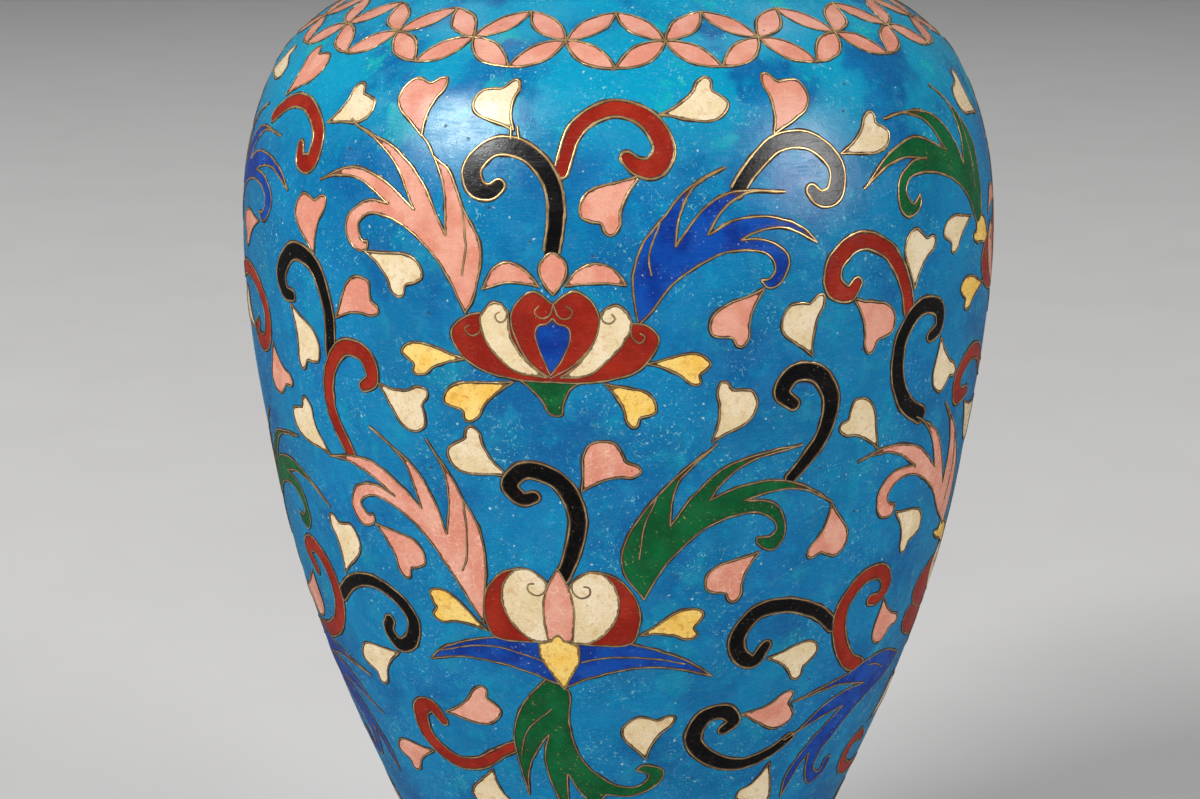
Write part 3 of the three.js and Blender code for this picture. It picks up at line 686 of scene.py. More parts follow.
def foot_ornament():
    """Upright petals round the foot."""
    pitch = 360 / FOOT_PETALS
    for k in range(FOOT_PETALS):
        piece = ("pink_leaves", "cream_leaves")[k % 2]
        at = lambda points: [((k + a) * pitch, FOOT_TOP - MIDLINE + 1 + h * FOOT_PETAL_HEIGHT)
                             for a, h in points]
        cell(piece, "border_wires", 1,
             at([(-0.4, 0.04), (-0.36, 0.5), (-0.2, 0.82)]),
             at([(0, 1), (0.2, 0.82), (0.36, 0.5), (0.4, 0.04)]), at([(0.4, 0.04), (0, 0)]))


# ---------------------------------------------------------------- meshes

def inside(points, edge):
    """Which points lie inside a closed edge."""
    x, y = points[:, 0][:, None], points[:, 1][:, None]
    ax, ay = edge[:, 0], edge[:, 1]
    bx, by = np.roll(ax, -1), np.roll(ay, -1)
    straddles = (ay > y) != (by > y)
    gap = np.where(by == ay, 1e-12, by - ay)
    return (straddles & (x < (bx - ax) * (y - ay) / gap + ax)).sum(1) % 2 == 1


def spread(points, others, gap):
    """The points that keep a gap from the others and from the points kept before them."""
    kept = []
    for p in points:
        near = np.vstack([others, kept]) if kept else others
        if np.hypot(*(near - p).T).min() > gap:
            kept.append(p)
    return np.array(kept).reshape(-1, 2)


def points_inside(edge, spacing):
    """Points for a cell's face: a ring just inside its edge, then a grid. The edge runs anticlockwise."""
    along = np.roll(edge, -1, 0) - np.roll(edge, 1, 0)
    inward = np.stack([-along[:, 1], along[:, 0]], -1) / (np.hypot(*along.T)[:, None] + 1e-9)
    ring = edge + inward * STAIN
    ring = ring[inside(ring, edge)]
    clear = [np.hypot(*(edge - p).T).min() > STAIN * 0.8 for p in ring]
    ring = spread(ring[clear], np.full((1, 2), np.inf), STEP * 0.6)
    low, high = edge.min(0), edge.max(0)
    columns = np.arange(low[0] + spacing / 2, high[0], spacing)
    rows = np.arange(low[1] + spacing / 2, high[1], spacing)
    if not len(columns) or not len(rows):
        return ring
    grid = np.stack(np.meshgrid(columns, rows), -1).reshape(-1, 2)
    grid = grid[inside(grid, edge)]
    return np.vstack([ring, spread(grid, np.vstack([edge, ring]), STAIN + spacing * 0.3)])


def slab(edge, lift):
    """A closed enamel piece over an edge, with its face, underside and side. Returns points, faces, rims."""
    edge = edge[np.concatenate([[True], np.abs(np.diff(edge, axis=0)).sum(1) > 1e-6])]
    following = np.roll(edge, -1, 0)
    area = (edge[:, 0] * following[:, 1] - following[:, 0] * edge[:, 1]).sum()
    if area < 0:
        edge = edge[::-1]
    scale = np.array([degree(edge[:, 1].mean()), rise(edge[:, 1].mean())])
    spacing = FINE_GRID if edge[:, 1].max() > TIGHT else GRID
    flat = np.vstack([edge * scale, points_inside(edge * scale, spacing)])
    loop = list(range(len(edge)))
    flat_points = [Vector(p) for p in flat]
    points, _, triangles, sources, _, _ = delaunay_2d_cdt(flat_points, [], [loop], 1, 1e-5)
    flat = np.array([tuple(p) for p in points]) / scale
    rim = np.array([float(any(s < len(edge) for s in source)) for source in sources])
    n = len(flat)
    faces = [tuple(f) for f in triangles] + [tuple(n + i for i in reversed(f)) for f in triangles]
    directed = {(f[i], f[(i + 1) % len(f)]) for f in triangles for i in range(len(f))}
    faces += [(n + i, n + j, j, i) for i, j in directed if (j, i) not in directed]
    return np.vstack([place(flat, lift), place(flat, -SLAB_DEPTH)]), faces, np.concatenate([rim, rim])


# Across a wire, with the tarnish beside it: share of the width, height in mm, and how tarnished it is
SECTION = [
    (-0.5, 0.01, 1), (-0.34, 0.07, 1), (-0.22, 0.12, 0.7), (-0.08, WIRE_CREST, 0), (0.08, WIRE_CREST, 0),
    (0.22, 0.12, 0.7), (0.34, 0.07, 1), (0.5, 0.01, 1), (0, -0.2, 1),
]
BEND = 0.07  # how far a hand-bent wire strays, in mm
WAVE = 3  # points from one bend to the next
RAGGED = 0.9  # how unevenly enamel covers a wire's edges
chance = np.random.default_rng(11)


def wander(count):
    """Smooth random values from -1 to 1 along a wire."""
    knots = chance.uniform(-1, 1, count // WAVE + 2)
    return np.interp(np.arange(count) / WAVE, np.arange(len(knots)), knots)[:, None]


def strip(path, lift, width):
    """A drawn wire along a path: a flat bar with a rounded crest. Returns points, faces, rims."""
    centre, out = place(path, lift), normals(path)
    closed = np.abs(path[0] - path[-1]).max() < 1e-6 and len(path) > 8
    along = np.gradient(centre, axis=0)
    if closed:
        along[0] = along[-1] = centre[1] - centre[-2]
    along /= np.linalg.norm(along, axis=1)[:, None] + 1e-12
    across = np.cross(along, out)
    centre = centre + across * wander(len(centre)) * BEND * MM
    if closed:
        centre, out, across = centre[:-1], out[:-1], across[:-1]
    rows = []
    for x, y, _ in SECTION:
        ragged = width * (1 + RAGGED * abs(x) * wander(len(centre)))
        rows.append(centre + across * (x * ragged * MM) + out * (y * MM))
    points = np.stack(rows, 1).reshape(-1, 3)
    count, sides = len(centre), len(SECTION)
    faces = []
    for i in range(count if closed else count - 1):
        a, b = i * sides, (i + 1) % count * sides
        for k in range(sides):
            m = (k + 1) % sides
            faces.append((a + k, b + k, b + m, a + m))
    if not closed:
        faces.append(tuple(range(sides)))
        faces.append(tuple((count - 1) * sides + k for k in reversed(range(sides))))
    return points, faces, np.tile([rim for _, _, rim in SECTION], count)


def lathe(outline, segments=OUTER_SIDES, start=0.0, sweep=360.0):
    """A closed turned solid from a closed outline of radius and height in mm."""
    outline = np.asarray(outline, float)
    full = sweep >= 360
    angles = np.radians(start + np.linspace(0, sweep, segments + 1)[: segments if full else None])
    r, z = outline[:, 0], outline[:, 1]
    points = np.stack([np.outer(np.sin(angles), r), -np.outer(np.cos(angles), r),
                       np.tile(z, (len(angles), 1))], -1).reshape(-1, 3) * MM
    n = len(outline)
    faces = []
    for i in range(len(angles) if full else len(angles) - 1):
        a, b = i * n, (i + 1) % len(angles) * n
        faces += [(a + k, b + k, b + (k + 1) % n, a + (k + 1) % n) for k in range(n)]
    if not full:
        faces.append(tuple(range(n)))
        faces.append(tuple((len(angles) - 1) * n + k for k in reversed(range(n))))
    return points, faces, np.zeros(len(points))


def make(name, parts, material, slot_name, *nodes, crease=SOFT_CREASE):
    """Joins parts into one piece of the vase."""
    points, faces, rims, base = [], [], [], 0
    for part_points, part_faces, part_rims in parts:
        points.append(part_points)
        rims.append(part_rims)
        faces += [tuple(base + i for i in face) for face in part_faces]
        base += len(part_points)
    mesh = bpy.data.meshes.new(name)
    mesh.from_pydata(np.vstack(points).tolist(), [], faces)
    mesh.attributes.new("rim", "FLOAT", "POINT").data.foreach_set("value", np.concatenate(rims))
    mesh.polygons.foreach_set("use_smooth", [True] * len(faces))
    mesh.set_sharp_from_angle(angle=math.radians(crease))
    mesh.materials.append(material)
    mesh.validate()
    piece = bpy.data.objects.new(name, mesh)
    bpy.context.scene.collection.objects.link(piece)
    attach(piece, "root")
    if nodes:
        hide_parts(*nodes)


# ---------------------------------------------------------------- materials

SPECULAR = 0.4


class Nodes:
    """A material's nodes, with patterns in millimetres of the object."""

    def __init__(self, name):
        self.material = bpy.data.materials.new(name)
        self.material.use_nodes = True
        self.tree = self.material.node_tree
        self.shader = self.tree.nodes["Principled BSDF"]
        self.here = self.add("TexCoord").outputs["Object"]

    def add(self, kind, **settings):
        node = self.tree.nodes.new("ShaderNode" + kind)
        for key, value in settings.items():
            setattr(node, key, value)
        return node

    def put(self, value, socket):
        if isinstance(value, bpy.types.NodeSocket):
            self.tree.links.new(value, socket)
        elif isinstance(value, tuple) and socket.type == "RGBA":
            socket.default_value = (*value, 1)
        else:
            socket.default_value = value

    def noise(self, size, detail=3.0, at=None):
        """Cloudy noise from 0 to 1, with features of about size mm."""
        node = self.add("TexNoise")
        node.inputs["Scale"].default_value = 1 / (size * MM)
        node.inputs["Detail"].default_value = detail
        self.put(at or self.here, node.inputs["Vector"])
        return node.outputs["Fac"]

    def cells(self, size, feature="F1", at=None):
        """Cells about size mm across: the distance in them, and a random value in each."""
        node = self.add("TexVoronoi", feature=feature)
        node.inputs["Scale"].default_value = 1 / (size * MM)
        self.put(at or self.here, node.inputs["Vector"])
        if feature != "F1":
            return node.outputs["Distance"], None
        split = self.add("SeparateColor")
        self.put(node.outputs["Color"], split.inputs[0])
        return node.outputs["Distance"], split.outputs[0]

    def warped(self, size, amount):
        """Coordinates pushed about by noise of a size, by an amount in mm."""
        noise = self.add("TexNoise")
        noise.inputs["Scale"].default_value = 1 / (size * MM)
        self.put(self.here, noise.inputs["Vector"])
        shift = self.add("VectorMath", operation="MULTIPLY_ADD")
        self.put(noise.outputs["Color"], shift.inputs[0])
        shift.inputs[1].default_value = (2 * amount * MM,) * 3
        self.put(self.here, shift.inputs[2])
        return shift.outputs[0]

    def scratches(self, size, length):
        """Noise drawn out level round the vase, size mm high and length mm long."""
        stretch = self.add("VectorMath", operation="MULTIPLY")
        self.put(self.here, stretch.inputs[0])
        stretch.inputs[1].default_value = (size / length, size / length, 1)
        return self.noise(size, 3, stretch.outputs[0])

    def step(self, value, low, high):
        """0 below low and 1 above high, smooth between; turned round where low is the greater."""
        node = self.add("MapRange", interpolation_type="SMOOTHSTEP")
        self.put(value, node.inputs["Value"])
        node.inputs["From Min"].default_value = min(low, high)
        node.inputs["From Max"].default_value = max(low, high)
        node.inputs["To Min"].default_value = float(low > high)
        node.inputs["To Max"].default_value = float(low < high)
        return node.outputs["Result"]

    def calc(self, operation, a, b=0.0, c=0.0):
        node = self.add("Math", operation=operation)
        for value, socket in zip((a, b, c), node.inputs):
            self.put(value, socket)
        return node.outputs[0]

    def mix(self, share, a, b):
        node = self.add("Mix", data_type="RGBA")
        for value, socket in ((share, node.inputs[0]), (a, node.inputs[6]), (b, node.inputs[7])):
            self.put(value, socket)
        return node.outputs[2]

    def tint(self, colour, other, value, most):
        """The colour turned towards another where the value is high, by the most at 1."""
        return self.mix(self.calc("MULTIPLY", value, most), colour, other)

    def scaled(self, colour, value):
        """A colour made darker or lighter by a value round 1."""
        node = self.add("VectorMath", operation="SCALE")
        self.put(colour, node.inputs[0])
        self.put(value, node.inputs["Scale"])
        return node.outputs[0]

    def up(self):
        """Height in metres."""
        node = self.add("SeparateXYZ")
        self.put(self.here, node.inputs[0])
        return node.outputs["Z"]

    def rim(self):
        return self.add("Attribute", attribute_name="rim").outputs["Fac"]

    def bump(self, *layers):
        """Stacks heights, each as (value, depth in mm)."""
        below = None
        for value, depth in layers:
            node = self.add("Bump")
            node.inputs["Distance"].default_value = depth * MM
            self.put(value, node.inputs["Height"])
            if below is not None:
                self.put(below, node.inputs["Normal"])
            below = node.outputs["Normal"]
        self.put(below, self.shader.inputs["Normal"])

    def worn(self, gloss):
        """Roughness of a polish that has gone dull in patches and along fine scratches."""
        patches = self.step(self.noise(3.5, 5), 0.4, 0.72)
        lines = self.step(self.scratches(0.3, 3.5), 0.5, 0.7)
        dull = self.calc("MULTIPLY_ADD", patches, 0.13, gloss)
        return self.calc("MULTIPLY_ADD", lines, 0.14, dull)

    def finish(self, colour, roughness):
        self.put(colour, self.shader.inputs["Base Color"])
        self.put(roughness, self.shader.inputs["Roughness"])
        self.shader.inputs["Specular IOR Level"].default_value = SPECULAR
        return self.material


BROWN = (0.075, 0.028, 0.009)
RUST = (0.56, 0.22, 0.04)
SOOT = (0.035, 0.016, 0.007)
OCHRE = (0.56, 0.22, 0.045)
PALE_PINK = (0.92, 0.58, 0.42)


def enamel(name, main, other, speck, specks=0.68, craze=0.2, crack=BROWN, rust=0.0, pits=0.08):
    """Polished opaque enamel: clouded colour, specks, rust, pits, fine cracks, and a stained edge.

    Fewer specks show as specks nears 1. craze, rust and pits run from 0, for none.
    """
    n = Nodes(name)
    colour = n.mix(n.step(n.noise(5, 4), 0.38, 0.64), main, other)
    colour = n.tint(colour, other, n.step(n.noise(0.8, 3), 0.5, 0.72), 0.4)

    clusters = n.step(n.noise(3.5, 3), 0.42, 0.56)
    flecks = n.calc("MULTIPLY", n.step(n.noise(0.42, 2), specks, specks + 0.05), clusters)
    colour = n.tint(colour, speck, flecks, 0.75)
    blotches = n.step(n.noise(1.1, 4, n.warped(1.2, 0.6)), 0.55, 0.65)
    colour = n.tint(colour, RUST, blotches, rust)

    near, _ = n.cells(1.9, "DISTANCE_TO_EDGE", n.warped(1.4, 0.5))
    broken = n.calc("MULTIPLY", n.step(n.noise(2.6, 2), 0.4, 0.5), n.step(n.up(), 0.165, 0.145))
    cracks = n.calc("MULTIPLY", n.step(near, 0.035, 0.01), broken)
    colour = n.tint(colour, crack, cracks, craze)

    pit, pit_tint = n.cells(2.4)
    holes = n.calc("MULTIPLY", n.step(pit, 0.1, 0.05), n.step(pit_tint, 1 - pits, 1.01 - pits))
    colour = n.tint(colour, BROWN, holes, 0.85)

    stained = n.calc("ADD", n.calc("MULTIPLY", n.rim(), 0.62), n.calc("MULTIPLY", n.noise(0.8, 4), 0.9))
    colour = n.tint(colour, BROWN, n.step(stained, 0.68, 0.92), 0.85)

    grain = n.noise(0.3, 4)
    colour = n.scaled(colour, n.calc("MULTIPLY_ADD", grain, 0.5, 0.75))
    n.bump((n.noise(7, 2), 0.08), (n.noise(0.9, 4), 0.02), (grain, 0.022), (holes, -0.08), (cracks, -0.012))
    return n.finish(colour, n.worn(0.2))


DEEP = (0.0003, 0.112, 0.305)
CERULEAN = (0.0004, 0.158, 0.38)
CYAN = (0.0006, 0.31, 0.49)
AQUA = (0.004, 0.44, 0.42)
MURKY = (0.0004, 0.105, 0.29)
PALE_LINE = (0.2, 0.56, 0.58)
PALE_DUST = (0.3, 0.62, 0.6)
PALE_DOT = (0.55, 0.72, 0.68)
CYAN_FROM = 0.186  # height in metres over which the ground turns to clearer cyan
CYAN_TO = 0.202


def turquoise(name):
    """The ground: cloudy turquoise with clearer patches on the shoulder, pale scratches, dots and pits."""
    n = Nodes(name)
    cloud = n.noise(14, 5)
    colour = n.mix(n.step(cloud, 0.38, 0.62), DEEP, CERULEAN)
    colour = n.tint(colour, CYAN, n.step(n.noise(3.2, 5), 0.5, 0.72), 0.35)
    colour = n.tint(colour, MURKY, n.step(n.noise(2.1, 5, n.warped(6, 3)), 0.55, 0.72), 0.4)
    high = n.step(n.up(), CYAN_FROM, CYAN_TO)
    reach = n.calc("MULTIPLY_ADD", high, 0.75, 0.25)
    patch = n.calc("MULTIPLY", n.step(n.noise(15, 3, n.warped(8, 4)), 0.38, 0.54), reach)
    colour = n.tint(colour, CYAN, patch, 0.85)
    patch = n.calc("MULTIPLY", n.step(n.noise(9, 4, n.warped(5, 4)), 0.58, 0.68), reach)
    colour = n.tint(colour, AQUA, patch, 0.6)

    lines = None
    for size, bend, keep in ((1.9, 0.9, 0.57), (1.1, 0.6, 0.59)):
        near, _ = n.cells(size, "DISTANCE_TO_EDGE", n.warped(size * 0.8, bend))
        thin = n.step(near, 0.04, 0.014)
        line = n.calc("MULTIPLY", thin, n.step(n.noise(size * 0.5, 3), keep, keep + 0.04))
        lines = line if lines is None else n.calc("MAXIMUM", lines, line)
    scattered = n.calc("MULTIPLY_ADD", n.step(n.noise(9, 3), 0.45, 0.6), 0.8, 0.2)
    lines = n.calc("MULTIPLY", lines, scattered)
    colour = n.tint(colour, PALE_LINE, lines, 0.65)

    dust = n.calc("MULTIPLY", n.step(n.noise(0.42, 2), 0.68, 0.72), scattered)
    colour = n.tint(colour, PALE_DUST, dust, 0.9)
    dot, dot_tint = n.cells(1.3, at=n.warped(0.5, 0.3))
    dots = n.calc("MULTIPLY", n.step(dot, 0.2, 0.08), n.step(dot_tint, 0.93, 0.94))
    colour = n.tint(colour, PALE_DOT, dots, 0.75)

    pit, pit_tint = n.cells(3.4)
    holes = n.calc("MULTIPLY", n.step(pit, 0.09, 0.04), n.step(pit_tint, 0.8, 0.81))
    colour = n.tint(colour, BROWN, holes, 0.9)

    grain = n.noise(0.32, 4)
    colour = n.scaled(colour, n.calc("MULTIPLY_ADD", grain, 0.7, 0.65))
    roughness = n.calc("MULTIPLY_ADD", lines, 0.2, n.worn(0.21))
    n.bump((n.noise(9, 2), 0.08), (n.noise(1.1, 4), 0.025), (grain, 0.022), (holes, -0.1), (lines, -0.02))
    return n.finish(colour, roughness)


def brass(name, bright, dull, tarnish_share, gloss, painted_shoulder_highlight=0.0):
    """Worn metal with a brown tarnish, which lies along a wire's edges. The last argument takes the tarnish
    off the wires on the shoulder, as a painted highlight where the lights catch it.
    """
    n = Nodes(name)
    grain = n.noise(0.5, 4)
    colour = n.mix(n.step(n.noise(3, 4), 0.35, 0.65), bright, dull)
    along_edge = n.calc("MULTIPLY", n.rim(), 0.7)
    tarnish = n.calc("ADD", along_edge, n.calc("MULTIPLY_ADD", n.noise(1.3, 5), 1.3, -0.4))
    # Painted highlight: above about 0.16 to 0.19 m the tarnish thins, so the wires read brighter where the
    # lights catch the shoulder
    shoulder = n.step(n.up(), 0.16, 0.19)
    tarnish = n.calc("MULTIPLY_ADD", shoulder, -painted_shoulder_highlight, tarnish)
    share = n.step(tarnish, 1 - tarnish_share, 1.3 - tarnish_share)
    colour = n.mix(share, colour, SOOT)
    metal = n.calc("MULTIPLY_ADD", share, -0.6, 0.65)
    n.put(metal, n.shader.inputs["Metallic"])
    roughness = n.calc("MULTIPLY_ADD", share, 0.3, gloss)
    n.bump((grain, 0.02), (n.noise(2.4, 3), 0.03))
    n.put(colour, n.shader.inputs["Base Color"])
    n.put(roughness, n.shader.inputs["Roughness"])
    return n.material


# ---------------------------------------------------------------- the vase put together

def coat_outline(low, high, outer, inner, rows):
    """A coat between two depths under the surface, from one height above the table to another."""
    heights = np.linspace(low, high, rows) - MIDLINE
    flat = np.stack([np.zeros(rows), heights], -1)
    line = lambda depth: np.stack([-place(flat, -depth)[:, 1], place(flat, -depth)[:, 2]], -1) / MM
    return np.vstack([line(outer), line(inner)[::-1]])


def ring_wire(level):
    azimuths = np.arange(361.0)
    path = np.stack([azimuths, np.full(len(azimuths), level - MIDLINE)], -1)
    return strip(path, RING_WIRE_LIFT, RING_WIRE_WIDTH)


def rounded(corners, size):
    """A closed outline of radius and height with its corners rounded."""
    corners = np.asarray(corners, float)
    out = []
    for before, corner, after in zip(np.roll(corners, 1, 0), corners, np.roll(corners, -1, 0)):
        start = corner + (before - corner) * min(0.45, size / np.linalg.norm(before - corner))
        end = corner + (after - corner) * min(0.45, size / np.linalg.norm(after - corner))
        for t in (0, 0.25, 0.5, 0.75, 1):
            out.append((1 - t) ** 2 * start + 2 * t * (1 - t) * corner + t * t * end)
    return np.array(out)


def numbered(stem):
    """The names of a plume's or flower's four copies round the vase."""
    return [f"{stem}_{k}" for k in (1, 2, 3, 4)]


SEAM = -54  # azimuth of the first join between the quarters of the belly's ground
LINING_ROWS = 110
FLOOR_CURVE = 6  # height over which the lining's wall turns into its floor


def body_and_coats():
    ground = turquoise("turquoise_enamel")
    copper = brass("copper", (0.62, 0.26, 0.13), (0.4, 0.15, 0.07), tarnish_share=0.35, gloss=0.4)
    gilt = brass("brass_rim", (0.72, 0.5, 0.2), (0.5, 0.32, 0.12), tarnish_share=0.45, gloss=0.26)

    half = RING_WIRE_WIDTH / 2
    belly = coat_outline(WAIST_LEVEL + half, NECK_LEVEL - half, 0, ENAMEL, 140)
    for k in range(4):
        nodes = ["belly_ground_enamel"] if k == 0 else []
        quarter = lathe(belly, OUTER_SIDES // 4, SEAM + 90 * k, 90)
        make(f"belly_ground_enamel_{k + 1}", [quarter], ground, "turquoise_enamel", *nodes)
    neck = coat_outline(NECK_LEVEL + half, LIP_LEVEL - half, 0, ENAMEL, 40)
    make("neck_ground", [lathe(neck)], ground, "turquoise_enamel", "neck_ground_enamel")
    foot = coat_outline(FOOT_TOP + REST_GAP, WAIST_LEVEL - half, 0, ENAMEL, 24)
    make("foot_ground", [lathe(foot)], ground, "turquoise_enamel", "foot_ground_enamel")

    sheet_top = ENAMEL + COAT_GAP
    sheet_foot = sheet_top + COPPER
    for name in ("copper_foot", "copper_lower_body", "copper_upper_body", "copper_shoulder", "copper_neck",
                 "copper_lip"):
        low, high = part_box(name)
        start = max(low.z / MM, FOOT_TOP + REST_GAP)
        sheet = coat_outline(start, high.z / MM, sheet_top, sheet_foot, 40)
        make(name + "_sheet", [lathe(sheet, INNER_SIDES)], copper, "copper", name)

    plate_low, plate_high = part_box("base_plate")
    plate = rounded([(0.01, plate_low.z / MM), (plate_high.x / MM, plate_low.z / MM),
                     (plate_high.x / MM, plate_high.z / MM), (0.01, plate_high.z / MM)], 0.3)
    make("base_sheet", [lathe(plate, INNER_SIDES)], copper, "copper", "base_plate")
    base_low, base_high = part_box("base_enamel")
    base = rounded([(0.01, base_low.z / MM + 0.2), (base_high.x / MM * 0.7, base_low.z / MM),
                    (base_high.x / MM, base_low.z / MM + 0.1), (base_high.x / MM, base_high.z / MM),
                    (0.01, base_high.z / MM)], 0.3)
    make("base_coat", [lathe(base, INNER_SIDES)], ground, "turquoise_enamel", "base_enamel")

    lining_top = sheet_foot + COAT_GAP
    floor = plate_high.z / MM + COAT_GAP
    wall = coat_outline(floor + FLOOR_CURVE, LIP_LEVEL + 0.4, lining_top, lining_top + LINING, LINING_ROWS)
    outer, inner = wall[:LINING_ROWS], wall[LINING_ROWS:]
    corner = outer[0, 0] - 2.4
    lining = np.vstack([
        [(0.01, floor), (corner, floor), (corner + 1.6, floor + 1.4)], outer, inner,
        [(corner + 0.9, floor + LINING + 1.6), (corner - 0.8, floor + LINING), (0.01, floor + LINING)],
    ])
    inside_enamel = enamel("lining_enamel", (0.06, 0.36, 0.48), (0.12, 0.46, 0.52), (0.02, 0.12, 0.16),
                           specks=0.64)
    make("lining_coat", [lathe(lining)], inside_enamel, "lining_enamel", "lining_enamel")

    mouth = rounded([
        (MOUTH_RADIUS - 4.2, MOUTH_LOW), (MOUTH_RADIUS - 1, MOUTH_LOW), (MOUTH_RADIUS, MOUTH_LOW + 1.4),
        (MOUTH_RADIUS, HEIGHT - 1.2), (MOUTH_RADIUS - 1, HEIGHT), (MOUTH_RADIUS - 4, HEIGHT),
        (MOUTH_RADIUS - 5.4, HEIGHT - 1), (MOUTH_RADIUS - 6.2, MOUTH_LOW + 0.1)], 0.7)
    make("mouth_ring", [lathe(mouth)], gilt, "brass_rim", "mouth_rim")
    foot_ring = rounded([
        (FOOT_RADIUS - 3.4, 0), (FOOT_RADIUS - 0.6, 0), (FOOT_RADIUS, 0.8), (FOOT_RADIUS, 2.2),
        (FOOT_RADIUS - 0.8, FOOT_TOP), (FOOT_RADIUS - 3.8, FOOT_TOP - 0.4)], 0.5)
    make("foot_ring", [lathe(foot_ring)], gilt, "brass_rim", "foot_rim")


def ornament():
    upper_lotus(FRONT, 0, "cream")
    upper_lotus(SIDE, SIDE_LIFT, "pink")
    lower_lotus()
    wide_lotus()
    plumes()
    scrolls_and_leaves()
    half_cells, half_wires = list(cells), list(wires)
    cells.extend((piece, layer, edge + (REPEAT, 0)) for piece, layer, edge in half_cells)
    wires.extend((piece, layer, path + (REPEAT, 0)) for piece, layer, path in half_wires)
    petal_band("band_wires", *SHOULDER_BAND)
    lower_scrolls()
    lower_border()
    neck_ornament()
    foot_ornament()


def visible_runs(layer, path):
    """The stretches of a wire that no cell of a higher layer covers."""
    hidden = np.zeros(len(path), bool)
    low, high = path.min(0), path.max(0)
    for _, cover, edge in cells:
        if cover <= layer:
            continue
        for turn in (-360, 0, 360):
            shifted = edge + (turn, 0)
            if (shifted.max(0) > low).all() and (shifted.min(0) < high).all():
                hidden |= inside(path, shifted)
    if not hidden.any():
        return [path]
    marks = np.flatnonzero(np.diff(np.concatenate([[True], hidden, [True]]).astype(int)))
    return [path[a:b] for a, b in zip(marks[::2], marks[1::2]) if b - a > 2]


# Each colour's main and second tints, its specks and how worn it is
ENAMELS = {
    "pink": dict(main=(0.68, 0.25, 0.17), other=(0.76, 0.36, 0.26), speck=PALE_PINK,
                 craze=0.55, crack=PALE_PINK, rust=0.15, pits=0.06),
    "cream": dict(main=(0.75, 0.59, 0.34), other=(0.82, 0.68, 0.46), speck=OCHRE,
                  specks=0.7, crack=OCHRE, rust=0.3),
    "red": dict(main=(0.25, 0.01, 0.003), other=(0.34, 0.02, 0.006), speck=(0.5, 0.14, 0.07), specks=0.67),
    "cobalt": dict(main=(0.0006, 0.028, 0.24), other=(0.001, 0.065, 0.36), speck=(0.45, 0.5, 0.55),
                   specks=0.67),
    "green": dict(main=(0.0008, 0.08, 0.02), other=(0.001, 0.125, 0.034), speck=(0.55, 0.42, 0.1),
                  specks=0.67),
    "yellow": dict(main=(0.87, 0.52, 0.085), other=(0.9, 0.64, 0.19), speck=OCHRE,
                   specks=0.62, crack=OCHRE, rust=0.5, pits=0.15),
    "black": dict(main=(0.0015, 0.0015, 0.0015), other=(0.004, 0.003, 0.003), speck=(0.3, 0.24, 0.2)),
}
# Each inlaid piece's colour, and the CAD nodes it replaces
INLAYS = {
    "lotus_red_enamel": ("red", [*numbered("upper_lotus"), *numbered("lower_lotus")]),
    "lotus_cream_enamel": ("cream", []),
    "lotus_pink_enamel": ("pink", []),
    "lotus_cobalt_enamel": ("cobalt", []),
    "lotus_green_enamel": ("green", []),
    "lotus_yellow_enamel": ("yellow", []),
    "pink_plumes": ("pink", ["upper_left_plume_1", "upper_left_plume_3", *numbered("lower_left_plume")]),
    "green_plumes": ("green", ["upper_left_plume_2", "upper_left_plume_4", *numbered("lower_right_plume"),
                               "tail_plume_1", "tail_plume_3"]),
    "cobalt_plumes": ("cobalt", [*numbered("upper_right_plume"), "tail_plume_2", "tail_plume_4"]),
    "black_scrolls": ("black", []),
    "red_scrolls": ("red", []),
    "cream_leaves": ("cream", []),
    "pink_leaves": ("pink", []),
    "yellow_leaves": ("yellow", []),
    "band_petals": ("pink", []),
    "border_drops": ("yellow", []),
}


def inlays_and_wires():
    glazes = {colour: enamel(colour + "_enamel", **look) for colour, look in ENAMELS.items()}
    for name, (colour, nodes) in INLAYS.items():
        parts = [slab(edge, INLAY_LIFT * (1 + layer * LAYER_SHARE)) for piece, layer, edge in cells
                 if piece == name]
        make(name, parts, glazes[colour], colour + "_enamel", *nodes)

    # The last value thins the wires' tarnish on the shoulder, a painted highlight where the lights catch
    # them
    drawn = brass("brass_wire", (0.82, 0.56, 0.26), (0.46, 0.28, 0.11),
                  tarnish_share=0.66, gloss=0.3, painted_shoulder_highlight=0.22)
    for name in sorted({piece for piece, _, _ in wires}):
        width = SCROLL_WIRE_WIDTH if name == "scroll_wires" else WIRE_WIDTH
        parts = [strip(run, 0, width) for piece, layer, path in wires if piece == name
                 for run in visible_runs(layer, path)]
        make(name, parts, drawn, "brass_wire", crease=WIRE_CREASE)
    for name, level in (("waist", WAIST_LEVEL), ("neck", NECK_LEVEL), ("lip", LIP_LEVEL)):
        ring = [ring_wire(level)]
        make(f"{name}_ring_wire", ring, drawn, "brass_wire", f"{name}_wire", crease=WIRE_CREASE)


# ---------------------------------------------------------------- floor, lights and camera

CAMERA_DISTANCE = 0.430  # metres, from the vase's middle
CAMERA_HEIGHT = 0.2492
CAMERA_PITCH = math.radians(15)
CAMERA_YAW = math.radians(0.446)
LENS = 69.4
FLOOR_HALF = 3.0  # metres
FLOOR_CUTS = 24
AIM_HEIGHT = 0.16  # metres, where the lights point
# Name, azimuth and elevation in degrees, distance in metres, width and height, watts, mirrored in the glaze
LIGHTS = [
    ("left_soft_box", -54, 35, 2.4, (0.9, 0.82), 55, True),
    ("right_soft_box", 60, 21, 2.4, (0.8, 1.0), 30, True),
    ("overhead_soft_box", 180, 62, 2.8, (2.2, 1.7), 20, True),
    ("front_fill", 0, 30, 2.6, (2.2, 1.4), 8, False),
]
BACKDROP = (0.92, 0.95, 1, 1)
BACKDROP_STRENGTH = 0.11


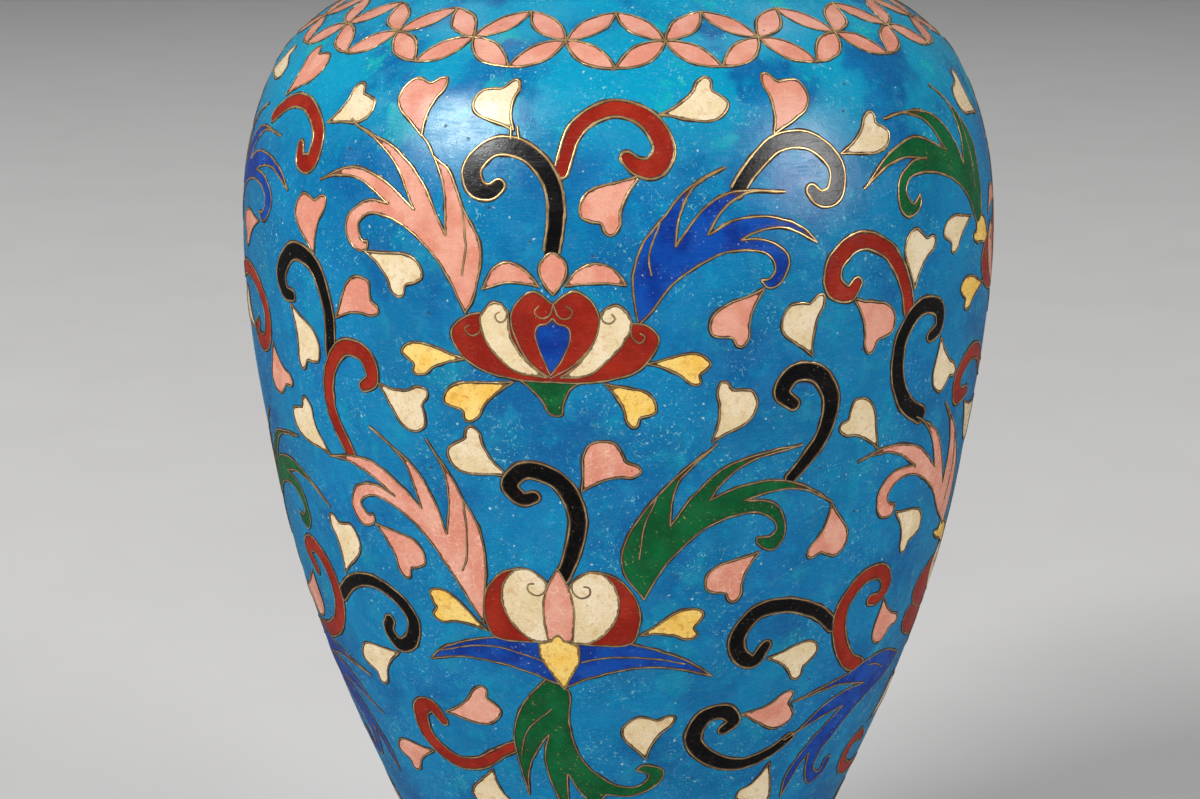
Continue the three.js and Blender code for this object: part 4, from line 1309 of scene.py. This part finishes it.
def set_stage():
    row = FLOOR_CUTS + 1
    grid = np.linspace(-FLOOR_HALF, FLOOR_HALF, row)
    points = [(x, y, 0) for y in grid for x in grid]
    faces = [(j * row + i, j * row + i + 1, (j + 1) * row + i + 1, (j + 1) * row + i)
             for j in range(FLOOR_CUTS) for i in range(FLOOR_CUTS)]
    mesh = bpy.data.meshes.new("floor")
    mesh.from_pydata(points, [], faces)
    n = Nodes("floor")
    shade = n.mix(n.noise(60, 3), (0.62, 0.61, 0.6), (0.68, 0.67, 0.66))
    mesh.materials.append(n.finish(shade, 0.6))
    floor = bpy.data.objects.new("floor", mesh)
    bpy.context.scene.collection.objects.link(floor)
    floor.visible_glossy = False


def soft_box(name, azimuth, elevation, distance, size, power, mirrored):
    light = bpy.data.lights.new(name, "AREA")
    light.shape = "RECTANGLE"
    light.size, light.size_y = size
    light.energy = power
    lamp = bpy.data.objects.new(name, light)
    a, e = math.radians(azimuth), math.radians(elevation)
    direction = Vector((math.sin(a) * math.cos(e), -math.cos(a) * math.cos(e), math.sin(e)))
    lamp.location = Vector((0, 0, AIM_HEIGHT)) + direction * distance
    lamp.visible_glossy = mirrored
    lamp.rotation_euler = direction.to_track_quat("Z", "Y").to_euler()
    bpy.context.scene.collection.objects.link(lamp)


def set_lights():
    for light in LIGHTS:
        soft_box(*light)
    world = bpy.data.worlds.new("studio")
    bpy.context.scene.world = world
    world.use_nodes = True
    background = world.node_tree.nodes["Background"]
    background.inputs["Color"].default_value = BACKDROP
    background.inputs["Strength"].default_value = BACKDROP_STRENGTH


def set_camera():
    camera = bpy.data.cameras.new("camera")
    camera.lens = LENS
    camera.sensor_width = 36
    camera.clip_start = 0.01
    holder = bpy.data.objects.new("camera", camera)
    holder.location = (0, -CAMERA_DISTANCE, CAMERA_HEIGHT)
    holder.rotation_euler = (math.radians(90) - CAMERA_PITCH, 0, CAMERA_YAW)
    bpy.context.scene.collection.objects.link(holder)
    bpy.context.scene.camera = holder
    bpy.context.scene.view_settings.view_transform = "Standard"


set_camera()
set_lights()
set_stage()
body_and_coats()
ornament()
inlays_and_wires()
